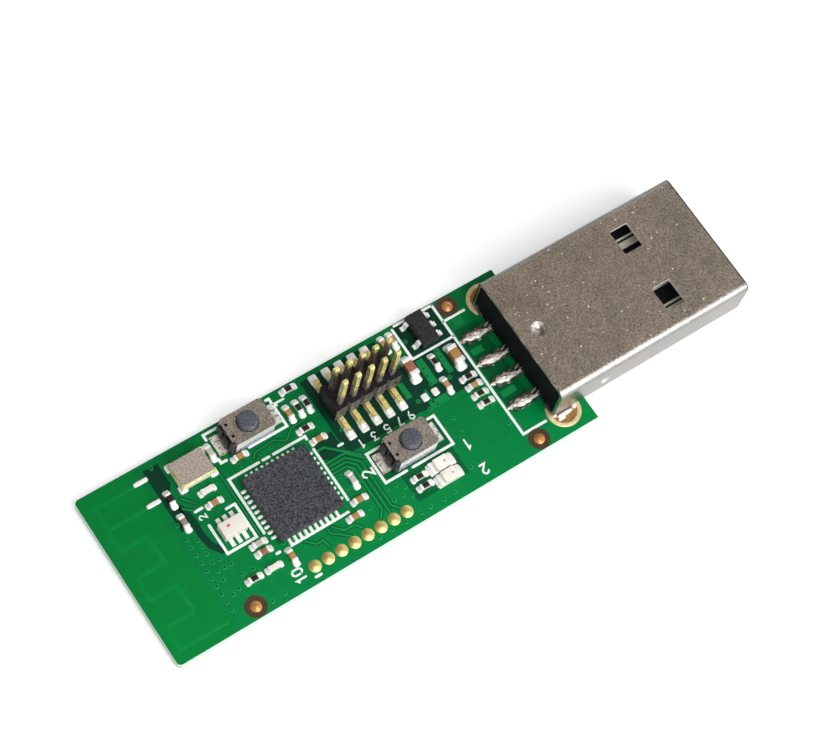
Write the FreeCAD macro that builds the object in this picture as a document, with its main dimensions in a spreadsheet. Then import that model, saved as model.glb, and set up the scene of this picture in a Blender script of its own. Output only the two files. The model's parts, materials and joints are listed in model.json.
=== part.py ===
import FreeCAD, Part
import os
import Sketcher

# A radio stick: a bare circuit board with a plug at one end, two push buttons,
# a pin header and small parts soldered to its upper face.
# Millimetres. X runs along the stick towards the mouth of the plug, Z is up.
# The origin is under the middle of the whole stick. A place on the board is
# given ahead of the back of the plug (its x) and off the centre line (its y).

VECTOR = FreeCAD.Vector

SIZES = (
    ("board_length", 40.8),
    ("board_width", 15.8),
    ("board_thickness", 1.0),
    ("board_corner", 0.4),
    ("pad_thickness", 0.05),
    ("plug_overlap", 3.45),
    ("plug_length", 19.65),
    ("plug_width", 12.0),
    ("plug_height", 4.5),
    ("plug_wall", 0.3),
    ("plug_corner", 0.6),
    ("window_length", 1.9),
    ("window_width", 2.4),
    ("window_corner", 0.12),
    ("window_spread", 3.05),
    ("window_setback", 6.5),
    ("leg_setback", 0.4),
    ("leg_length", 1.7),
    ("leg_slot_end_gap", 0.2),
    ("leg_slot_side_gap", 0.4),
    ("ring_pad_border", 0.5),
    ("dimple_setback", 1.8),
    ("side_dimple_setback", 4.95),
    ("side_dimple_height", 2.1),
    ("dimple_diameter", 1.34),
    ("side_dimple_diameter", 0.94),
    ("dimple_depth", 0.2),
    ("dimple_slope", 0.17),
    ("insulator_gap", 0.02),
    ("insulator_block", 6.2),
    ("insulator_setback", 0.25),
    ("insulator_foot_length", 3.6),
    ("insulator_foot_width", 9.4),
    ("tongue_height", 1.9),
    ("tongue_setback", 0.9),
    ("tongue_nose", 0.6),
    ("contact_width", 1.0),
    ("contact_thickness", 0.25),
    ("contact_proud", 0.1),
    ("contact_inner_spread", 1.0),
    ("contact_outer_spread", 3.5),
    ("contact_outer_setback", 1.3),
    ("contact_inner_setback", 2.3),
    ("contact_drop", 3.2),
    ("contact_tail", 2.4),
    ("contact_toe", 0.35),
    ("contact_land_border", 0.1),
    ("header_x", 12.69),
    ("header_y", 4.2),
    ("header_pitch", 1.27),
    ("header_body_width", 2.5),
    ("header_body_height", 1.95),
    ("header_body_gap", 0.05),
    ("header_notch", 0.22),
    ("pin_width", 0.41),
    ("pin_height", 6.6),
    ("pin_taper", 0.12),
    ("pin_foot", 1.98),
    ("pin_toe", 0.65),
    ("pin_land_length", 2.75),
    ("pin_land_width", 0.76),
    ("chip_x", 22.23),
    ("chip_y", -0.56),
    ("chip_width", 6.0),
    ("chip_height", 0.9),
    ("chip_bevel", 0.06),
    ("chip_lead_pitch", 0.5),
    ("chip_lead_width", 0.24),
    ("chip_lead_length", 0.4),
    ("chip_lead_height", 0.2),
    ("chip_paddle", 4.4),
    ("chip_land_reach", 0.42),
    ("crystal_x", 28.0),
    ("crystal_y", 5.4),
    ("crystal_length", 3.2),
    ("crystal_width", 2.45),
    ("crystal_base_height", 0.6),
    ("crystal_lid_height", 0.35),
    ("crystal_lid_border", 0.12),
    ("crystal_lid_corner", 0.24),
    ("switch_1_x", 22.39),
    ("switch_1_y", 6.1),
    ("switch_2_x", 11.9),
    ("switch_2_y", -2.0),
    ("switch_length", 3.7),
    ("switch_width", 2.6),
    ("switch_base_height", 1.75),
    ("switch_cover_wall", 0.15),
    ("switch_cover_skirt", 1.1),
    ("switch_cover_corner", 0.3),
    ("switch_well_gap", 0.1),
    ("switch_well_floor", 0.5),
    ("switch_foot_reach", 1.15),
    ("switch_foot_width", 1.8),
    ("button_diameter", 1.75),
    ("button_clearance", 0.08),
    ("button_rise", 0.55),
    ("button_edge", 0.12),
    ("button_flange", 0.2),
    ("button_flange_height", 0.3),
    ("button_flange_gap", 0.01),
    ("button_nib_diameter", 0.9),
    ("dome_diameter", 2.1),
    ("dome_rise", 0.3),
    ("dome_wall", 0.05),
    ("balun_x", 27.85),
    ("balun_y", -0.5),
    ("balun_length", 2.1),
    ("balun_width", 1.35),
    ("balun_height", 0.95),
    ("balun_lead_pitch", 0.62),
    ("balun_lead_width", 0.36),
    ("balun_lead_reach", 0.65),
    ("balun_lead_height", 0.15),
    ("regulator_x", 5.05),
    ("regulator_y", 6.15),
    ("regulator_length", 1.65),
    ("regulator_width", 2.9),
    ("regulator_height", 1.1),
    ("regulator_standoff", 0.1),
    ("regulator_taper", 0.12),
    ("regulator_lead_pitch", 0.95),
    ("regulator_lead_width", 0.42),
    ("regulator_lead_thickness", 0.15),
    ("regulator_lead_reach", 0.62),
    ("regulator_lead_knee", 0.25),
    ("led_x", 10.37),
    ("led_1_y", -4.6),
    ("led_2_y", -5.8),
    ("led_length", 2.1),
    ("led_width", 1.08),
    ("led_base_height", 0.32),
    ("led_lens_length", 1.3),
    ("led_lens_height", 0.4),
    ("led_lens_taper", 0.1),
    ("led_fillet_reach", 0.18),
    ("test_pad_x", 23.9),
    ("test_pad_y", -6.52),
    ("test_pad_pitch", 1.27),
    ("test_pad_diameter", 1.08),
    ("fiducial_diameter", 0.95),
    ("antenna_land_length", 1.3),
    ("antenna_land_width", 0.4),
    ("empty_land_length", 0.62),
    ("empty_land_width", 0.7),
    ("small_length", 1.05),
    ("small_width", 0.52),
    ("small_height", 0.36),
    ("small_end", 0.24),
    ("large_length", 1.65),
    ("large_width", 0.85),
    ("large_height", 0.8),
    ("large_end", 0.38),
    ("end_plating", 0.02),
    ("fillet_reach", 0.3),
)

PIN_COLUMN_COUNT = 5
CHIP_SIDE_LEAD_COUNT = 10
BALUN_SIDE_LEAD_COUNT = 3
TEST_PAD_COUNT = 8
# A round pad is a prism with this many sides, which keeps the model light.
PAD_SIDE_COUNT = 16

# How far up the end of its piece a solder fillet climbs, and how it hollows.
FILLET_CLIMB = 0.75
FILLET_HOLLOW = 0.35

# Node, size family, then the x, y and run ("x" or "y") of each piece.
SMALL_PARTS = (
    ("antenna_inductor", "small", ((30.76, 4.15, "y"),)),
    ("antenna_capacitor", "small", ((30.84, 1.92, "y"),)),
    ("matching_inductor_1", "small", ((27.85, 3.26, "x"),)),
    ("matching_inductor_2", "small", ((26.75, -4.96, "x"),)),
    ("matching_capacitor_1", "small", ((27.9, 2.07, "x"),)),
    ("matching_capacitor_2", "small", ((26.75, -2.66, "x"),)),
    ("matching_capacitor_3", "small", ((26.75, -3.44, "x"),)),
    ("bias_resistor", "small", ((28.6, -4.95, "x"),)),
    ("crystal_capacitor", "small", ((25.9, 5.95, "y"),)),
    ("ferrite_bead", "small", ((17.31, -1.94, "y"),)),
    ("line_capacitor", "small", ((3.98, -0.21, "x"),)),
    ("bypass_capacitor_1", "large", ((7.85, 3.75, "y"),)),
    ("bypass_capacitor_2", "large", ((3.9, 2.8, "y"),)),
    ("series_resistors", "small", ((3.98, 0.67, "x"), (3.98, -1.1, "x"), (3.98, -1.99, "x"))),
    ("led_resistors", "small", ((12.5, -4.6, "x"), (12.5, -5.49, "x"))),
    ("pull_up_resistors", "small",
     ((18.19, 3.7, "x"), (17.7, 5.55, "y"), (16.9, 5.55, "y"), (17.53, 7.36, "x"), (5.65, 3.25, "y"))),
    ("decoupling_capacitors", "small",
     ((25.03, -4.9, "y"), (17.79, -3.7, "x"), (18.88, -4.73, "x"), (17.75, 2.4, "x"),
      (24.05, 4.4, "x"), (18.61, 5.55, "y"))),
    ("supply_capacitors", "small", ((8.45, 6.7, "y"), (7.65, 6.7, "y"), (5.95, 1.01, "y"))),
)

FIDUCIALS = ((29.69, -6.91), (1.99, -6.93), (1.82, 6.94))
ANTENNA_LANDS = ((32.0, 6.6), (32.05, 4.5))
EMPTY_LANDS = ((8.12, 1.0), (7.09, 1.0))


class Size:
    """A length with its number and the sheet text that keeps it bound."""

    def __init__(self, text, value):
        self.text = text
        self.value = value

    def __add__(self, other):
        other = sized(other)
        return Size("(%s + %s)" % (self.text, other.text), self.value + other.value)

    def __sub__(self, other):
        other = sized(other)
        return Size("(%s - %s)" % (self.text, other.text), self.value - other.value)

    def __mul__(self, other):
        other = sized(other)
        return Size("(%s * %s)" % (self.text, other.text), self.value * other.value)

    def __truediv__(self, other):
        other = sized(other)
        return Size("(%s / %s)" % (self.text, other.text), self.value / other.value)

    def __rmul__(self, other):
        return sized(other) * self

    def __neg__(self):
        return sized(0) - self


def sized(number):
    """A size as it is, or a plain number as a size."""
    if isinstance(number, Size):
        return number
    return Size("(%r)" % float(number), float(number))


doc = FreeCAD.newDocument("RadioStick")
sheet = doc.addObject("Spreadsheet::Sheet", "Sizes")


class Sheet:
    """The driving sizes, each by its name."""


s = Sheet()
for row, (name, number) in enumerate(SIZES, start=1):
    sheet.set("A%d" % row, name)
    sheet.set("B%d" % row, repr(number))
    sheet.setAlias("B%d" % row, name)
    setattr(s, name, Size("Sizes.%s" % name, number))
doc.recompute()

NODES = []


def keep(thing, name):
    """Name a finished sub-part, so that it is written out under that name."""
    thing.Label = name
    NODES.append(thing)
    return thing


def bind(thing, path, size):
    thing.setExpression(path, sized(size).text)


# Where the stick lies: it is centred over the origin, and the board's
# underside is at zero.
ORIGIN = sized(0)
PLUG_START = s.board_length - s.plug_overlap
BOARD_END = -(PLUG_START + s.plug_length) / 2
PLUG_BACK = BOARD_END + PLUG_START
BOARD_TOP = s.board_thickness
LAND_TOP = BOARD_TOP + s.pad_thickness
LEG_MIDDLE = s.leg_setback + s.leg_length / 2
LEG_OFFSET = (s.plug_width - s.plug_wall) / 2
CONTACT_SPREADS = (-s.contact_outer_spread, -s.contact_inner_spread, s.contact_inner_spread, s.contact_outer_spread)
CONTACT_SETBACKS = (s.contact_outer_setback, s.contact_inner_setback, s.contact_inner_setback, s.contact_outer_setback)


def place(thing, x, y, z):
    bind(thing, "Placement.Base.x", x)
    bind(thing, "Placement.Base.y", y)
    bind(thing, "Placement.Base.z", z)
    return thing


def ahead(x):
    """The x of a place on the board, from its distance ahead of the back of the plug."""
    return PLUG_BACK - x


def new_body(name):
    return doc.addObject("PartDesign::Body", name)


def sketch_on(body, role, name, height=None):
    """A sketch on one of the body's own origin planes, raised by height where given."""
    sketch = body.newObject("Sketcher::SketchObject", name)
    plane = [p for p in body.Origin.OriginFeatures if p.Role == role][0]
    sketch.AttachmentSupport = (plane, [""])
    sketch.MapMode = "FlatFace"
    if height is not None:
        bind(sketch, "AttachmentOffset.Base.z", height)
    return sketch


def dimension(sketch, kind, index, position, size):
    number = sketch.addConstraint(Sketcher.Constraint(kind, -1, 1, index, position, sized(size).value))
    sketch.setExpression("Constraints[%d]" % number, sized(size).text)


def polygon(sketch, corners):
    """A closed outline whose corners are bound to the sheet."""
    corners = [(sized(x), sized(y)) for x, y in corners]
    first = len(sketch.Geometry)
    count = len(corners)
    for k, (x, y) in enumerate(corners):
        nx, ny = corners[(k + 1) % count]
        sketch.addGeometry(Part.LineSegment(VECTOR(x.value, y.value, 0), VECTOR(nx.value, ny.value, 0)), False)
    for k in range(count):
        following = first + (k + 1) % count
        sketch.addConstraint(Sketcher.Constraint("Coincident", first + k, 2, following, 1))
    for k, (x, y) in enumerate(corners):
        dimension(sketch, "DistanceX", first + k, 1, x)
        dimension(sketch, "DistanceY", first + k, 1, y)


def rectangle(sketch, x, y, length, width):
    """A rectangle about the point x, y."""
    x, y = sized(x), sized(y)
    half_length, half_width = sized(length) / 2, sized(width) / 2
    polygon(sketch, ((x - half_length, y - half_width), (x + half_length, y - half_width),
                     (x + half_length, y + half_width), (x - half_length, y + half_width)))


def circle(sketch, x, y, diameter):
    x, y, radius = sized(x), sized(y), sized(diameter) / 2
    index = sketch.addGeometry(Part.Circle(VECTOR(x.value, y.value, 0), VECTOR(0, 0, 1), radius.value), False)
    dimension(sketch, "DistanceX", index, 3, x)
    dimension(sketch, "DistanceY", index, 3, y)
    number = sketch.addConstraint(Sketcher.Constraint("Radius", index, radius.value))
    sketch.setExpression("Constraints[%d]" % number, radius.text)


def oblong(sketch, x, y, length, width):
    """A slot outline about x, y, with round ends along x."""
    x, y, radius = sized(x), sized(y), sized(width) / 2
    low, high = x - (length - width) / 2, x + (length - width) / 2
    ends = ((low, y - radius, high, y - radius), (high, y + radius, low, y + radius))
    first = len(sketch.Geometry)
    for k, (from_x, from_y, to_x, to_y) in enumerate(ends):
        start, end = VECTOR(from_x.value, from_y.value, 0), VECTOR(to_x.value, to_y.value, 0)
        sketch.addGeometry(Part.LineSegment(start, end), False)
        outward = 1 - 2 * k
        nose = VECTOR(to_x.value + outward * radius.value, y.value, 0)
        after = VECTOR(to_x.value, y.value + outward * radius.value, 0)
        sketch.addGeometry(Part.Arc(end, nose, after), False)
    for k in range(4):
        sketch.addConstraint(Sketcher.Constraint("Coincident", first + k, 2, first + (k + 1) % 4, 1))
    for k, (from_x, from_y, to_x, to_y) in enumerate(ends):
        line, arc = first + 2 * k, first + 2 * k + 1
        dimension(sketch, "DistanceX", line, 1, from_x)
        dimension(sketch, "DistanceY", line, 1, from_y)
        dimension(sketch, "DistanceX", line, 2, to_x)
        dimension(sketch, "DistanceY", line, 2, to_y)
        dimension(sketch, "DistanceX", arc, 3, to_x)


def pad(body, sketch, length, middle=False, down=False):
    feature = body.newObject("PartDesign::Pad", sketch.Name + "Pad")
    feature.Profile = sketch
    bind(feature, "Length", length)
    feature.Midplane = middle
    feature.Reversed = down
    doc.recompute()
    return feature


def pocket(body, sketch, length, middle=False, up=False):
    feature = body.newObject("PartDesign::Pocket", sketch.Name + "Pocket")
    feature.Profile = sketch
    bind(feature, "Length", length)
    feature.Midplane = middle
    feature.Reversed = up
    before = body.Shape.Volume
    doc.recompute()
    if body.Shape.Volume > before - 1e-6:
        raise ValueError("the cut %s removes nothing" % feature.Name)
    return feature


def turned(body, section, name):
    """A full turn of a half section about the vertical axis."""
    feature = body.newObject("PartDesign::Revolution", name)
    feature.Profile = section
    feature.ReferenceAxis = (section, ["V_Axis"])
    feature.Angle = 360
    doc.recompute()
    return feature


def edges_where(feature, test):
    return ["Edge%d" % k for k, edge in enumerate(feature.Shape.Edges, start=1) if test(edge)]


def runs_along(edge, axis):
    if edge.Curve.TypeId != "Part::GeomLine":
        return False
    step = edge.Vertexes[1].Point - edge.Vertexes[0].Point
    return step.Length > 1e-6 and abs(step.normalize().dot(axis)) > 0.999


def near(number, size):
    return abs(number - sized(size).value) < 1e-3


def rounded(body, base, radius, test):
    """Round the edges of the body that pass the test."""
    feature = body.newObject("PartDesign::Fillet", base.Name + "Round")
    feature.Base = (base, edges_where(base, test))
    bind(feature, "Radius", radius)
    doc.recompute()
    return feature


def bevelled(body, base, size, test):
    """Bevel the edges of the body that pass the test."""
    feature = body.newObject("PartDesign::Chamfer", base.Name + "Bevel")
    feature.Base = (base, edges_where(base, test))
    bind(feature, "Size", size)
    doc.recompute()
    return feature


ALONG_X, ALONG_Y, ALONG_Z = VECTOR(1, 0, 0), VECTOR(0, 1, 0), VECTOR(0, 0, 1)


def box(name, x, y, z, length, width, height):
    """A box about x, y with its underside at z."""
    thing = doc.addObject("Part::Box", name)
    bind(thing, "Length", length)
    bind(thing, "Width", width)
    bind(thing, "Height", height)
    return place(thing, sized(x) - sized(length) / 2, sized(y) - sized(width) / 2, z)


def round_pad(name, x, y, z, diameter, height):
    thing = doc.addObject("Part::Prism", name)
    thing.Polygon = PAD_SIDE_COUNT
    bind(thing, "Circumradius", sized(diameter) / 2)
    bind(thing, "Height", height)
    return place(thing, x, y, z)


def joined(name, pieces):
    """One solid from pieces that meet."""
    thing = doc.addObject("Part::MultiFuse", name)
    thing.Shapes = pieces
    return thing


def group(name, pieces):
    """Separate solids that share a node."""
    thing = doc.addObject("Part::Compound", name)
    thing.Links = pieces
    return thing


def cut(name, base, tool):
    thing = doc.addObject("Part::Cut", name)
    thing.Base = base
    thing.Tool = tool
    return thing


def centred_places(count, pitch):
    return [sized(k - (count - 1) / 2) * pitch for k in range(count)]


def circuit_board():
    """The laminate, with a round-ended slot for each leg of the plug."""
    body = new_body("BoardBody")
    outline = sketch_on(body, "XY_Plane", "BoardOutline")
    rectangle(outline, s.board_length / 2, 0, s.board_length, s.board_width)
    slab = pad(body, outline, s.board_thickness)
    middle = s.board_length.value / 2
    rounded(body, slab, s.board_corner, lambda e: runs_along(e, ALONG_Z) and e.BoundBox.XMax < middle)
    slots = sketch_on(body, "XY_Plane", "LegSlots")
    for side in (-1, 1):
        leg_slot(slots, PLUG_START + LEG_MIDDLE, side * LEG_OFFSET)
    pocket(body, slots, s.board_thickness, up=True)
    place(body, BOARD_END, ORIGIN, ORIGIN)
    keep(body, "circuit_board")


def leg_slot(sketch, x, y):
    oblong(sketch, x, y, s.leg_length + 2 * s.leg_slot_end_gap, s.plug_wall + 2 * s.leg_slot_side_gap)


def plug_shell():
    """A folded steel tube: windows, lock dimples, a notch for the insulator's foot and two legs."""
    body = new_body("ShellBody")
    outer = sketch_on(body, "YZ_Plane", "ShellOutside")
    rectangle(outer, 0, s.plug_height / 2, s.plug_width, s.plug_height)
    tube = pad(body, outer, s.plug_length)
    rounded(body, tube, s.plug_corner, lambda e: runs_along(e, ALONG_X))
    inner = sketch_on(body, "YZ_Plane", "ShellInside")
    rectangle(inner, 0, s.plug_height / 2, s.plug_width - 2 * s.plug_wall, s.plug_height - 2 * s.plug_wall)
    hollow = pocket(body, inner, s.plug_length, up=True)
    inside = s.plug_width / 2 - s.plug_wall
    rounded(body, hollow, s.plug_corner - s.plug_wall,
            lambda e: runs_along(e, ALONG_X) and (near(e.BoundBox.YMax, inside) or near(e.BoundBox.YMin, -inside)))
    windows = sketch_on(body, "XY_Plane", "ShellWindows", s.plug_height / 2)
    window_x = s.plug_length - s.window_setback
    for side in (-1, 1):
        rectangle(windows, window_x, side * s.window_spread, s.window_length, s.window_width)
    opened = pocket(body, windows, 2 * s.plug_height, middle=True)
    ends = (window_x - s.window_length / 2, window_x + s.window_length / 2)
    bevelled(body, opened, s.window_corner,
             lambda e: runs_along(e, ALONG_Z) and any(near(e.BoundBox.XMin, end) for end in ends))
    notch = sketch_on(body, "XY_Plane", "FootNotch")
    notch_length = s.insulator_foot_length + s.insulator_gap
    rectangle(notch, notch_length / 2, 0, notch_length, s.insulator_foot_width + 2 * s.insulator_gap)
    pocket(body, notch, s.plug_wall, up=True)
    legs = sketch_on(body, "XY_Plane", "ShellLegs", s.plug_height / 2)
    for side in (-1, 1):
        rectangle(legs, LEG_MIDDLE, side * LEG_OFFSET, s.leg_length, s.plug_wall)
    pad(body, legs, s.plug_height / 2 + LAND_TOP, down=True)
    place(body, PLUG_BACK, ORIGIN, LAND_TOP)
    sunk = s.plug_width / 2 - s.dimple_depth
    flank_x, flank_z = PLUG_BACK + s.side_dimple_setback, LAND_TOP + s.side_dimple_height
    dimples = [place(dimple_tool(s.dimple_diameter, 0),
                     PLUG_BACK + s.dimple_setback, ORIGIN, LAND_TOP + s.plug_height - s.dimple_depth)]
    dimples += [place(dimple_tool(s.side_dimple_diameter, -side * 90), flank_x, side * sunk, flank_z)
                for side in (-1, 1)]
    keep(cut("ShellWithDimples", body, group("DimpleTools", dimples)), "plug_shell")


def dimple_tool(diameter, turn):
    """The hollow of a dimple, widening from its floor along z, or along y when turned about x."""
    thing = doc.addObject("Part::Cone", "DimpleTool")
    thing.Placement = FreeCAD.Placement(VECTOR(), FreeCAD.Rotation(ALONG_X, turn))
    bind(thing, "Radius1", diameter / 2 - s.dimple_slope)
    bind(thing, "Radius2", diameter / 2)
    bind(thing, "Height", s.dimple_depth)
    return thing


TONGUE_TOP = s.plug_wall + s.tongue_height


def plug_contact(number, spread, setback):
    """A formed strip: a blade along the tongue, a drop in the rear block and a soldered tail."""
    body = new_body("Contact%dBody" % number)
    profile = sketch_on(body, "XZ_Plane", "Contact%dProfile" % number)
    thick = s.contact_thickness
    top = TONGUE_TOP + s.contact_proud
    front = s.plug_length - setback
    drop_back = s.contact_drop - thick
    polygon(profile, (
        (-s.contact_tail, 0), (s.contact_drop, 0), (s.contact_drop, top - thick), (front, top - thick),
        (front, top), (drop_back, top), (drop_back, thick), (-s.contact_tail, thick)))
    strip = pad(body, profile, s.contact_width, middle=True)
    bends = ((s.contact_drop, ORIGIN), (drop_back, top))
    bevelled(body, strip, thick / 2,
             lambda e: runs_along(e, ALONG_Y) and any(
                 near(e.BoundBox.XMin, x) and near(e.BoundBox.ZMin, z) for x, z in bends))
    place(body, PLUG_BACK, spread, LAND_TOP)
    return keep(body, "plug_contact_%d" % number)


def plug_insulator(contacts):
    """The moulded block and tongue on a foot, with a passage for each contact."""
    body = new_body("InsulatorBody")
    width = s.plug_width - 2 * s.plug_wall - 2 * s.insulator_gap
    low = s.plug_wall
    high = s.plug_height - s.plug_wall - s.insulator_gap
    nose = s.plug_length - s.tongue_setback
    profile = sketch_on(body, "XZ_Plane", "InsulatorProfile")
    polygon(profile, (
        (s.insulator_setback, low), (nose, low), (nose, TONGUE_TOP - s.tongue_nose),
        (nose - s.tongue_nose, TONGUE_TOP), (s.insulator_block, TONGUE_TOP),
        (s.insulator_block, high), (s.insulator_setback, high)))
    block = pad(body, profile, width, middle=True)
    rounded(body, block, s.plug_corner - s.plug_wall, lambda e: runs_along(e, ALONG_X) and (
        near(e.BoundBox.ZMax, low) or near(e.BoundBox.ZMin, high)))
    foot = sketch_on(body, "XY_Plane", "InsulatorFoot")
    length = s.insulator_foot_length - s.insulator_setback
    rectangle(foot, s.insulator_setback + length / 2, 0, length, s.insulator_foot_width)
    pad(body, foot, s.plug_wall + s.plug_corner)
    place(body, PLUG_BACK, ORIGIN, LAND_TOP)
    keep(cut("InsulatorWithPassages", body, group("ContactTools", contacts)), "plug_insulator")


def header_pin(column, side):
    """A square post, tapered at its tip, bent outwards under the body into a foot."""
    number = 2 * column + (1 if side < 0 else 2)
    body = new_body("Pin%dBody" % number)
    profile = sketch_on(body, "YZ_Plane", "Pin%dProfile" % number)
    half = s.pin_width / 2
    shoulder = s.pin_height - 2 * s.pin_taper
    polygon(profile, (
        (side * s.pin_foot, 0), (-side * half, 0), (-side * half, shoulder),
        (-side * (half - s.pin_taper), s.pin_height), (side * (half - s.pin_taper), s.pin_height),
        (side * half, shoulder), (side * half, s.pin_width), (side * s.pin_foot, s.pin_width)))
    post = pad(body, profile, s.pin_width, middle=True)
    bevelled(body, post, s.pin_width / 2, lambda e: runs_along(e, ALONG_X) and (
        near(e.BoundBox.YMin, -side * half) and near(e.BoundBox.ZMax, ORIGIN)))
    place(body, ahead(s.header_x) + centred_places(PIN_COLUMN_COUNT, s.header_pitch)[column],
          s.header_y + side * s.header_pitch / 2, LAND_TOP)
    return keep(body, "header_pin_%d" % number)


def header_body(pins):
    """The moulded strip that holds the pins, with a notch between each two columns."""
    body = new_body("HeaderBody")
    length = s.header_pitch * PIN_COLUMN_COUNT
    outline = sketch_on(body, "XY_Plane", "HeaderOutline")
    rectangle(outline, 0, 0, length, s.header_body_width)
    pad(body, outline, s.header_body_height)
    half = s.header_body_width / 2
    notches = sketch_on(body, "XY_Plane", "HeaderNotches")
    first = s.header_pitch - length / 2
    for side in (-1, 1):
        edge, depth = side * half, side * (half - s.header_notch)
        polygon(notches, ((first - s.header_notch, edge), (first, depth), (first + s.header_notch, edge)))
    cutter = pocket(body, notches, s.header_body_height, up=True)
    repeat = body.newObject("PartDesign::LinearPattern", "NotchRow")
    repeat.Originals = [cutter]
    repeat.Direction = (notches, ["H_Axis"])
    repeat.Occurrences = PIN_COLUMN_COUNT - 1
    bind(repeat, "Length", s.header_pitch * (PIN_COLUMN_COUNT - 2))
    body.Tip = repeat
    doc.recompute()
    place(body, ahead(s.header_x), s.header_y, LAND_TOP + s.pin_width + s.header_body_gap)
    keep(cut("HeaderWithHoles", body, group("PinTools", pins)), "header_body")


def radio_chip():
    """A flat square package on rows of leads and a middle paddle."""
    body = new_body("ChipBody")
    outline = sketch_on(body, "XY_Plane", "ChipOutline")
    rectangle(outline, 0, 0, s.chip_width, s.chip_width)
    height = s.chip_height - s.chip_lead_height
    slab = pad(body, outline, height)
    bevelled(body, slab, s.chip_bevel, lambda e: near(e.BoundBox.ZMin, height))
    x, y = ahead(s.chip_x), s.chip_y
    place(body, x, y, BOARD_TOP + s.chip_lead_height)
    keep(body, "radio_chip_body")
    leads = [box("ChipPaddle", x, y, BOARD_TOP, s.chip_paddle, s.chip_paddle, s.chip_lead_height)]
    inset = (s.chip_width - s.chip_lead_length) / 2
    for step in centred_places(CHIP_SIDE_LEAD_COUNT, s.chip_lead_pitch):
        for side in (-1, 1):
            leads.append(box("ChipLead", x + step, y + side * inset, BOARD_TOP,
                             s.chip_lead_width, s.chip_lead_length, s.chip_lead_height))
            leads.append(box("ChipLead", x + side * inset, y + step, BOARD_TOP,
                             s.chip_lead_length, s.chip_lead_width, s.chip_lead_height))
    keep(group("ChipLeads", leads), "radio_chip_leads")


def crystal():
    """A ceramic tray closed by a drawn metal lid."""
    x, y = ahead(s.crystal_x), s.crystal_y
    keep(box("CrystalTray", x, y, BOARD_TOP, s.crystal_length, s.crystal_width, s.crystal_base_height),
         "crystal_base")
    body = new_body("LidBody")
    outline = sketch_on(body, "XY_Plane", "LidOutline")
    rectangle(outline, 0, 0, s.crystal_length - 2 * s.crystal_lid_border,
              s.crystal_width - 2 * s.crystal_lid_border)
    lid = pad(body, outline, s.crystal_lid_height)
    rounded(body, lid, s.crystal_lid_corner, lambda e: runs_along(e, ALONG_Z))
    place(body, x, y, BOARD_TOP + s.crystal_base_height)
    keep(body, "crystal_lid")


def push_switch(number, x, y):
    """A push switch: a base with a well, a snap dome, a flanged button, a folded cover and two feet."""
    tag = "Switch%d" % number
    switch_base(tag, number, x, y)
    switch_cover(tag, number, x, y)
    switch_button(tag, number, x, y)
    switch_dome(tag, number, x, y)
    feet = []
    for side in (-1, 1):
        middle = side * (s.switch_length + s.switch_foot_reach) / 2
        feet.append(box(tag + "Foot", x + middle, y, BOARD_TOP,
                        s.switch_foot_reach, s.switch_foot_width, s.switch_cover_wall))
    keep(group(tag + "Feet", feet), "switch_%d_terminals" % number)


FLANGE_DIAMETER = s.button_diameter + 2 * s.button_flange
DOME_TOP = s.switch_well_floor + s.dome_rise + s.dome_wall


def switch_base(tag, number, x, y):
    base = new_body(tag + "Base")
    outline = sketch_on(base, "XY_Plane", tag + "BaseOutline")
    rectangle(outline, 0, 0, s.switch_length, s.switch_width)
    pad(base, outline, s.switch_base_height)
    well = sketch_on(base, "XY_Plane", tag + "Well", s.switch_base_height)
    circle(well, 0, 0, FLANGE_DIAMETER + 2 * s.switch_well_gap)
    pocket(base, well, s.switch_base_height - s.switch_well_floor)
    place(base, x, y, BOARD_TOP)
    keep(base, "switch_%d_base" % number)


def switch_cover(tag, number, x, y):
    """A plate over the base, with a hole for the button and a skirt folded down at each end."""
    cover = new_body(tag + "Cover")
    wall = s.switch_cover_wall
    plate = sketch_on(cover, "XY_Plane", tag + "Plate", s.switch_base_height)
    rectangle(plate, 0, 0, s.switch_length + 2 * wall, s.switch_width)
    flat = pad(cover, plate, wall)
    rounded(cover, flat, s.switch_cover_corner, lambda e: runs_along(e, ALONG_Z))
    skirts = sketch_on(cover, "XY_Plane", tag + "Skirts", s.switch_base_height + wall)
    for side in (-1, 1):
        rectangle(skirts, side * (s.switch_length + wall) / 2, 0, wall,
                  s.switch_width - 2 * s.switch_cover_corner)
    pad(cover, skirts, s.switch_cover_skirt + wall, down=True)
    hole = sketch_on(cover, "XY_Plane", tag + "CoverHole", s.switch_base_height + wall)
    circle(hole, 0, 0, s.button_diameter + 2 * s.button_clearance)
    pocket(cover, hole, wall)
    place(cover, x, y, BOARD_TOP)
    keep(cover, "switch_%d_cover" % number)


def switch_button(tag, number, x, y):
    """A turned plunger: a nib on the dome, a flange held under the cover and a bevelled head."""
    nib = s.button_nib_diameter / 2
    radius = s.button_diameter / 2
    flange_top = s.switch_base_height - s.button_flange_gap
    flange_bottom = flange_top - s.button_flange_height
    top = s.switch_base_height + s.switch_cover_wall + s.button_rise
    button = new_body(tag + "Button")
    section = sketch_on(button, "XZ_Plane", tag + "ButtonSection")
    polygon(section, (
        (0, DOME_TOP), (nib, DOME_TOP), (nib, flange_bottom), (FLANGE_DIAMETER / 2, flange_bottom),
        (FLANGE_DIAMETER / 2, flange_top), (radius, flange_top), (radius, top - s.button_edge),
        (radius - s.button_edge, top), (0, top)))
    turned(button, section, tag + "ButtonTurned")
    place(button, x, y, BOARD_TOP)
    keep(button, "switch_%d_button" % number)


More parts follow.
